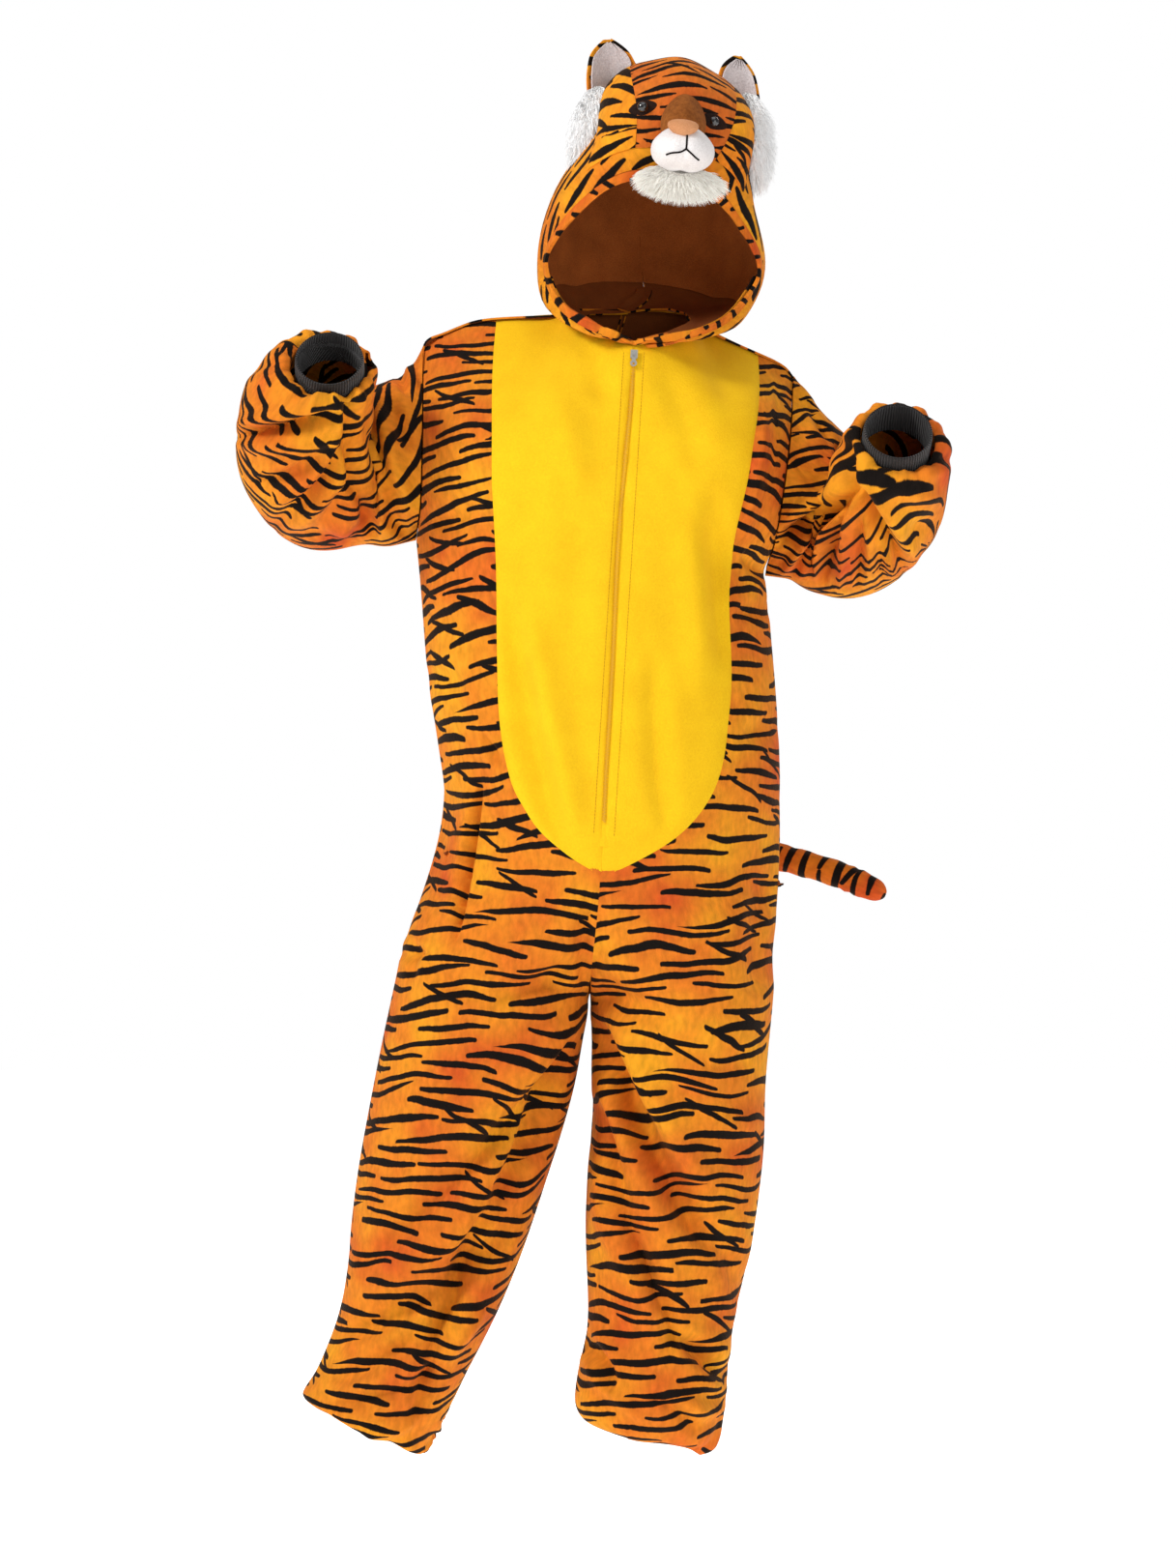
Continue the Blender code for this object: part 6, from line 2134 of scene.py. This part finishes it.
@dataclass
class TigerFace:
    """Muzzle, nose, bridge, eyes, chin and cheek fur of the hood's face.

    Attributes:
        mouth: The sewn mouth lines, each as points in x and z.
        made: The finished pieces by node.
    """

    mouth: tuple[tuple[tuple[float, float], ...], ...] = (
        ((0.0690, 0.2215), (0.0686, 0.2120), (0.0680, 0.2020)),
        ((0.0680, 0.2020), (0.0600, 0.1985), (0.0500, 0.1975), (0.0440, 0.1960)),
        ((0.0680, 0.2020), (0.0730, 0.1975), (0.0790, 0.1925), (0.0830, 0.1900)),
    )
    made: dict[str, bpy.types.Object] = field(default_factory=dict)

    def build(self) -> None:
        """Builds the forms, the fur and the mouth."""
        forms = (
            PlushForm(
                "muzzle", (0.0645, -0.168, 0.207), (0.0385, 0.040, 0.0285), (0.0, 0.10, 0.0),
                MUZZLE_PLUSH, "white_plush", muzzle_shape,
            ),
            PlushForm(
                "nose_bridge", (0.0655, -0.158, 0.242), (0.0265, 0.044, 0.022), (0.85, 0.08, 0.0),
                BRIDGE_PLUSH, "brown_pile", bridge_shape,
            ),
            PlushForm(
                "nose", (0.0640, -0.199, 0.229), (0.0185, 0.014, 0.0105), (0.3, 0.10, 0.0),
                NOSE_PLUSH, "tan_nose", nose_shape,
            ),
        )
        for form in forms:
            self.made[form.node] = form.build()
        tufts = (
            FurTuft(
                "chin_fur", FUR_CHIN, "white_fur", count=5200, long=0.019, comb=(0.0, -0.20, -1.0),
                flare=0.50, thick=0.00075, seed=11, fan=26.0,
            ),
            FurTuft(
                "ruff_right", FUR_WHITE, "white_fur", count=4200, long=0.022, comb=(-0.10, 0.05, -1.0),
                flare=0.30, thick=0.00080, seed=12, fan=4.0,
            ),
            FurTuft(
                "ruff_left", FUR_WHITE, "white_fur", count=4200, long=0.022, comb=(0.10, 0.05, -1.0),
                flare=0.30, thick=0.00080, seed=13, fan=4.0,
            ),
        )
        for tuft in tufts:
            self.made[tuft.node] = tuft.build()
        muzzle = surface_of(self.made["muzzle"])
        threads = []
        for i, line in enumerate(self.mouth):
            spots = along_path([(x, z) for x, z in line], 16)
            places, normals = cast([muzzle], [tuple(s) for s in spots])
            radii = [0.0012] * len(places)
            threads.append(tube(f"mouth_{i}", places + normals * 0.0002, radii))
        mouth = joined("mouth_stitches", threads)
        dress(mouth, THREAD_BLACK, None, GARMENT)
        self.eyes()

    def eyes(self) -> None:
        """Makes each eye as a glossy dome on a dark almond of pile."""
        panels = ("face_centre", "face_right", "face_left")
        face = [surface_of(bpy.data.objects[n + "_cloth"]) for n in panels]
        seats = (
            ("eye_right", (0.0164, -0.1478, 0.2605), 0.20),
            ("eye_left", (0.1024, -0.1400, 0.2439), -0.35),
        )
        for node, centre, tilt in seats:
            deselect_all()
            bpy.ops.mesh.primitive_uv_sphere_add(segments=40, ring_count=24, radius=0.0068)
            dome = bpy.context.object
            dome.name = node + "_dome"
            move_to(dome, points_of(dome) * np.array([1.0, 0.92, 1.0]) + np.array(centre))
            bpy.ops.object.shade_smooth()
            dress(dome, EYE_ACRYLIC, "black_eye", GARMENT, node)
            rings = []
            around = 36
            depth = 7
            for j in range(depth + 1):
                share = j / depth
                spots = []
                for i in range(around):
                    turn = 2 * math.pi * i / around
                    x = share * 0.0175 * math.cos(turn)
                    z = share * 0.0098 * math.sin(turn) * (1 - 0.25 * abs(math.cos(turn)))
                    spots.append(
                        (
                            centre[0] + x * math.cos(tilt) - z * math.sin(tilt),
                            centre[2] + x * math.sin(tilt) + z * math.cos(tilt),
                        )
                    )
                places, normals = cast(face, spots)
                if len(places) < around:
                    break
                rings.append(places + normals * 0.0022 * math.sqrt(max(0.0, 1 - share**2)))
            faces = ring_faces(len(rings), around)
            patch = piece_of(node + "_patch", np.vstack(rings), faces)
            only(patch)
            bpy.ops.object.shade_smooth()
            dress(patch, EYE_PATCH, None, GARMENT)


@dataclass
class Tail:
    """The stuffed tail.

    Attributes:
        path: The line through its middle.
    """

    path: tuple[tuple[float, float, float], ...] = (
        (-0.030, 0.1502, -0.585),
        (0.060, 0.188, -0.622),
        (0.190, 0.142, -0.651),
        (0.306, 0.104, -0.690),
        (0.335, 0.098, -0.702),
    )

    def build(self) -> bpy.types.Object:
        """Rounds the solid, lays the print round it and dresses it.

        Returns:
            The finished piece.
        """
        points, faces = merged_copy("tail")
        thing = piece_of("tail_plush", points, faces)
        quads(thing)
        subdivided(thing, 2)
        line = along_path(self.path, 40)
        tube_pattern(thing, line, (0.37, 0.11))
        _, along = nearest_on(line, points_of(thing))
        pucker = 0.0009 * np.sin(along * 260 + np.sin(along * 90) * 2)
        move_to(thing, points_of(thing) + normals_of(thing) * pucker[:, None])
        only(thing)
        bpy.ops.object.shade_smooth()
        dress(thing, PLUSH_TAIL, "tiger_plush", GARMENT, "tail")
        return thing


@dataclass
class Zip:
    """The zip's coil, its tape, its slider and its pull.

    Attributes:
        pitch: Distance between teeth.
    """

    pitch: float = 0.0019

    def build(self) -> None:
        """Makes the teeth in place of the plain chain, and dresses the metal."""
        points, _ = merged_copy("zip_chain")
        order = np.argsort(-points[:, 2])
        points = points[order]
        levels = np.linspace(points[0, 2], points[-1, 2], 60)
        middle = []
        for low, high in zip(levels[1:], levels[:-1], strict=True):
            inside = points[(points[:, 2] <= high + 0.006) & (points[:, 2] >= low - 0.006)]
            if len(inside):
                middle.append([inside[:, 0].mean(), inside[:, 1].min(), (low + high) / 2])
        line = along_path(middle[::4] + [middle[-1]], 900)
        count = int(lengths_of(line)[-1] / self.pitch)
        spots = places_at(line, np.arange(count) * self.pitch)
        box = np.array(
            [(x, y, z) for x in (-1, 1) for y in (-1, 1) for z in (-1, 1)], float
        ) * np.array([0.00155, 0.0006, 0.00055])
        box_faces = [(0, 1, 3, 2), (4, 6, 7, 5), (0, 4, 5, 1), (2, 3, 7, 6), (0, 2, 6, 4), (1, 5, 7, 3)]
        places = []
        faces: list[list[int]] = []
        for i, spot in enumerate(spots):
            side = -0.00075 if i % 2 else 0.00075
            places.append(box + spot + np.array([side, 0.0005, 0.0]))
            faces += [[8 * i + n for n in f] for f in box_faces]
        teeth = piece_of("zip_teeth", np.vstack(places), faces)
        outwards(teeth)
        dress(teeth, ZIP_NYLON, "zip_metal", GARMENT, "zip_chain")
        finishes = {"zip_slider": ZIP_PLATED, "zip_pull": ZIP_PLATED, "zip_tape": BELLY_FLEECE}
        for node, finish in finishes.items():
            mesh = frame["nodes"][node].data
            mesh.materials.clear()
            mesh.materials.append(finish.made())
        self.stop()

    def stop(self) -> None:
        """Closes the zip's lower end with a tab of the belly's fleece."""
        belly = [surface_of(bpy.data.objects[n]) for n in ("belly_right_cloth", "belly_left_cloth")]
        spots = [(x, z) for z in np.linspace(-0.6350, -0.603, 9) for x in (-0.038, -0.029, -0.020)]
        corners = [(-0.041, -0.600), (-0.018, -0.600), (-0.041, -0.630), (-0.018, -0.630)]
        places, _ = cast(belly, corners)
        depth = float(places[:, 1].mean()) + 0.0022
        points = np.array([(x, depth + 0.0007 * abs(i % 3 - 1), z) for i, (x, z) in enumerate(spots)])
        faces = [
            (3 * r + c, 3 * r + c + 1, 3 * r + c + 4, 3 * r + c + 3) for r in range(8) for c in range(2)
        ]
        tab = piece_of("zip_end_tab", points, faces)
        apply_modifier(tab, "SOLIDIFY", thickness=0.0018, offset=0.0)
        apply_modifier(tab, "BEVEL", width=0.0004, segments=2)
        dress(tab, BELLY_FLEECE, None, GARMENT)


@dataclass
class Stitching:
    """Sewn lines that show as separate stitches.

    Attributes:
        long: Length of one stitch.
        gap: Gap between stitches.
        thick: The thread's radius.
    """

    long: float = 0.0030
    gap: float = 0.0011
    thick: float = 0.00034

    def row(self, name: str, places: np.ndarray, normals: np.ndarray, finish: Finish) -> bpy.types.Object:
        """Sews stitches along a line of places.

        Args:
            name: The piece's name.
            places: Places on the cloth, closely spaced.
            normals: The cloth's normals there.
            finish: The thread.

        Returns:
            The row of stitches as one piece.
        """
        gone = lengths_of(places)
        points: list[np.ndarray] = []
        faces: list[list[int]] = []
        start = 0.0
        while start + self.long < gone[-1]:
            ends = []
            for share, lift in ((0.0, -0.2), (0.2, 0.7), (0.8, 0.7), (1.0, -0.2)):
                at = start + share * self.long
                spot = np.array([np.interp(at, gone, places[:, k]) for k in range(3)])
                out = np.array([np.interp(at, gone, normals[:, k]) for k in range(3)])
                ends.append((spot + out * lift * self.thick, out))
            way = ends[-1][0] - ends[0][0]
            way /= max(float(np.linalg.norm(way)), 1e-9)
            base = sum(len(p) for p in points)
            for spot, out in ends:
                side = np.cross(way, out)
                side /= max(float(np.linalg.norm(side)), 1e-9)
                turns = np.arange(5) * 2 * math.pi / 5
                points.append(
                    spot
                    + self.thick * (np.cos(turns)[:, None] * out + np.sin(turns)[:, None] * side)
                )
            faces += ring_faces(len(ends), 5, base)
            faces.append([base + j for j in range(5)][::-1])
            faces.append([base + 15 + j for j in range(5)])
            start += self.long + self.gap
        thing = piece_of(name, np.vstack(points), faces)
        outwards(thing)
        dress(thing, finish, None, GARMENT)
        return thing

    def build(self) -> None:
        """Sews the two rows beside the zip."""
        belly = [surface_of(bpy.data.objects[n]) for n in ("belly_right_cloth", "belly_left_cloth")]
        top, bottom = -0.032, -0.622
        for name, off in (("zip_row_right", -0.0125), ("zip_row_left", 0.0125)):
            spots = []
            for z in np.linspace(top, bottom, 420):
                share = (z - top) / (bottom - top)
                spots.append((0.0062 - 0.037 * share + off, float(z)))
            places, normals = cast(belly, spots)
            self.row(name, places, normals, THREAD_YELLOW)


def main() -> None:
    """Builds the studio and each sub-assembly in order."""
    logging.basicConfig(level=logging.INFO, format="%(message)s", force=True)
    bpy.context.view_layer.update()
    Studio().build()
    Jumpsuit().build()
    Sleeves().build()
    Hood().build()
    TigerFace().build()
    Tail().build()
    Zip().build()
    Stitching().build()
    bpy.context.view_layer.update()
    total = sum(
        len(p.vertices) - 2
        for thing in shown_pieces()
        if thing.type == "MESH"
        for p in thing.data.polygons
    )
    log.info("triangles %d", total)


if __name__ == "__main__":
    main()
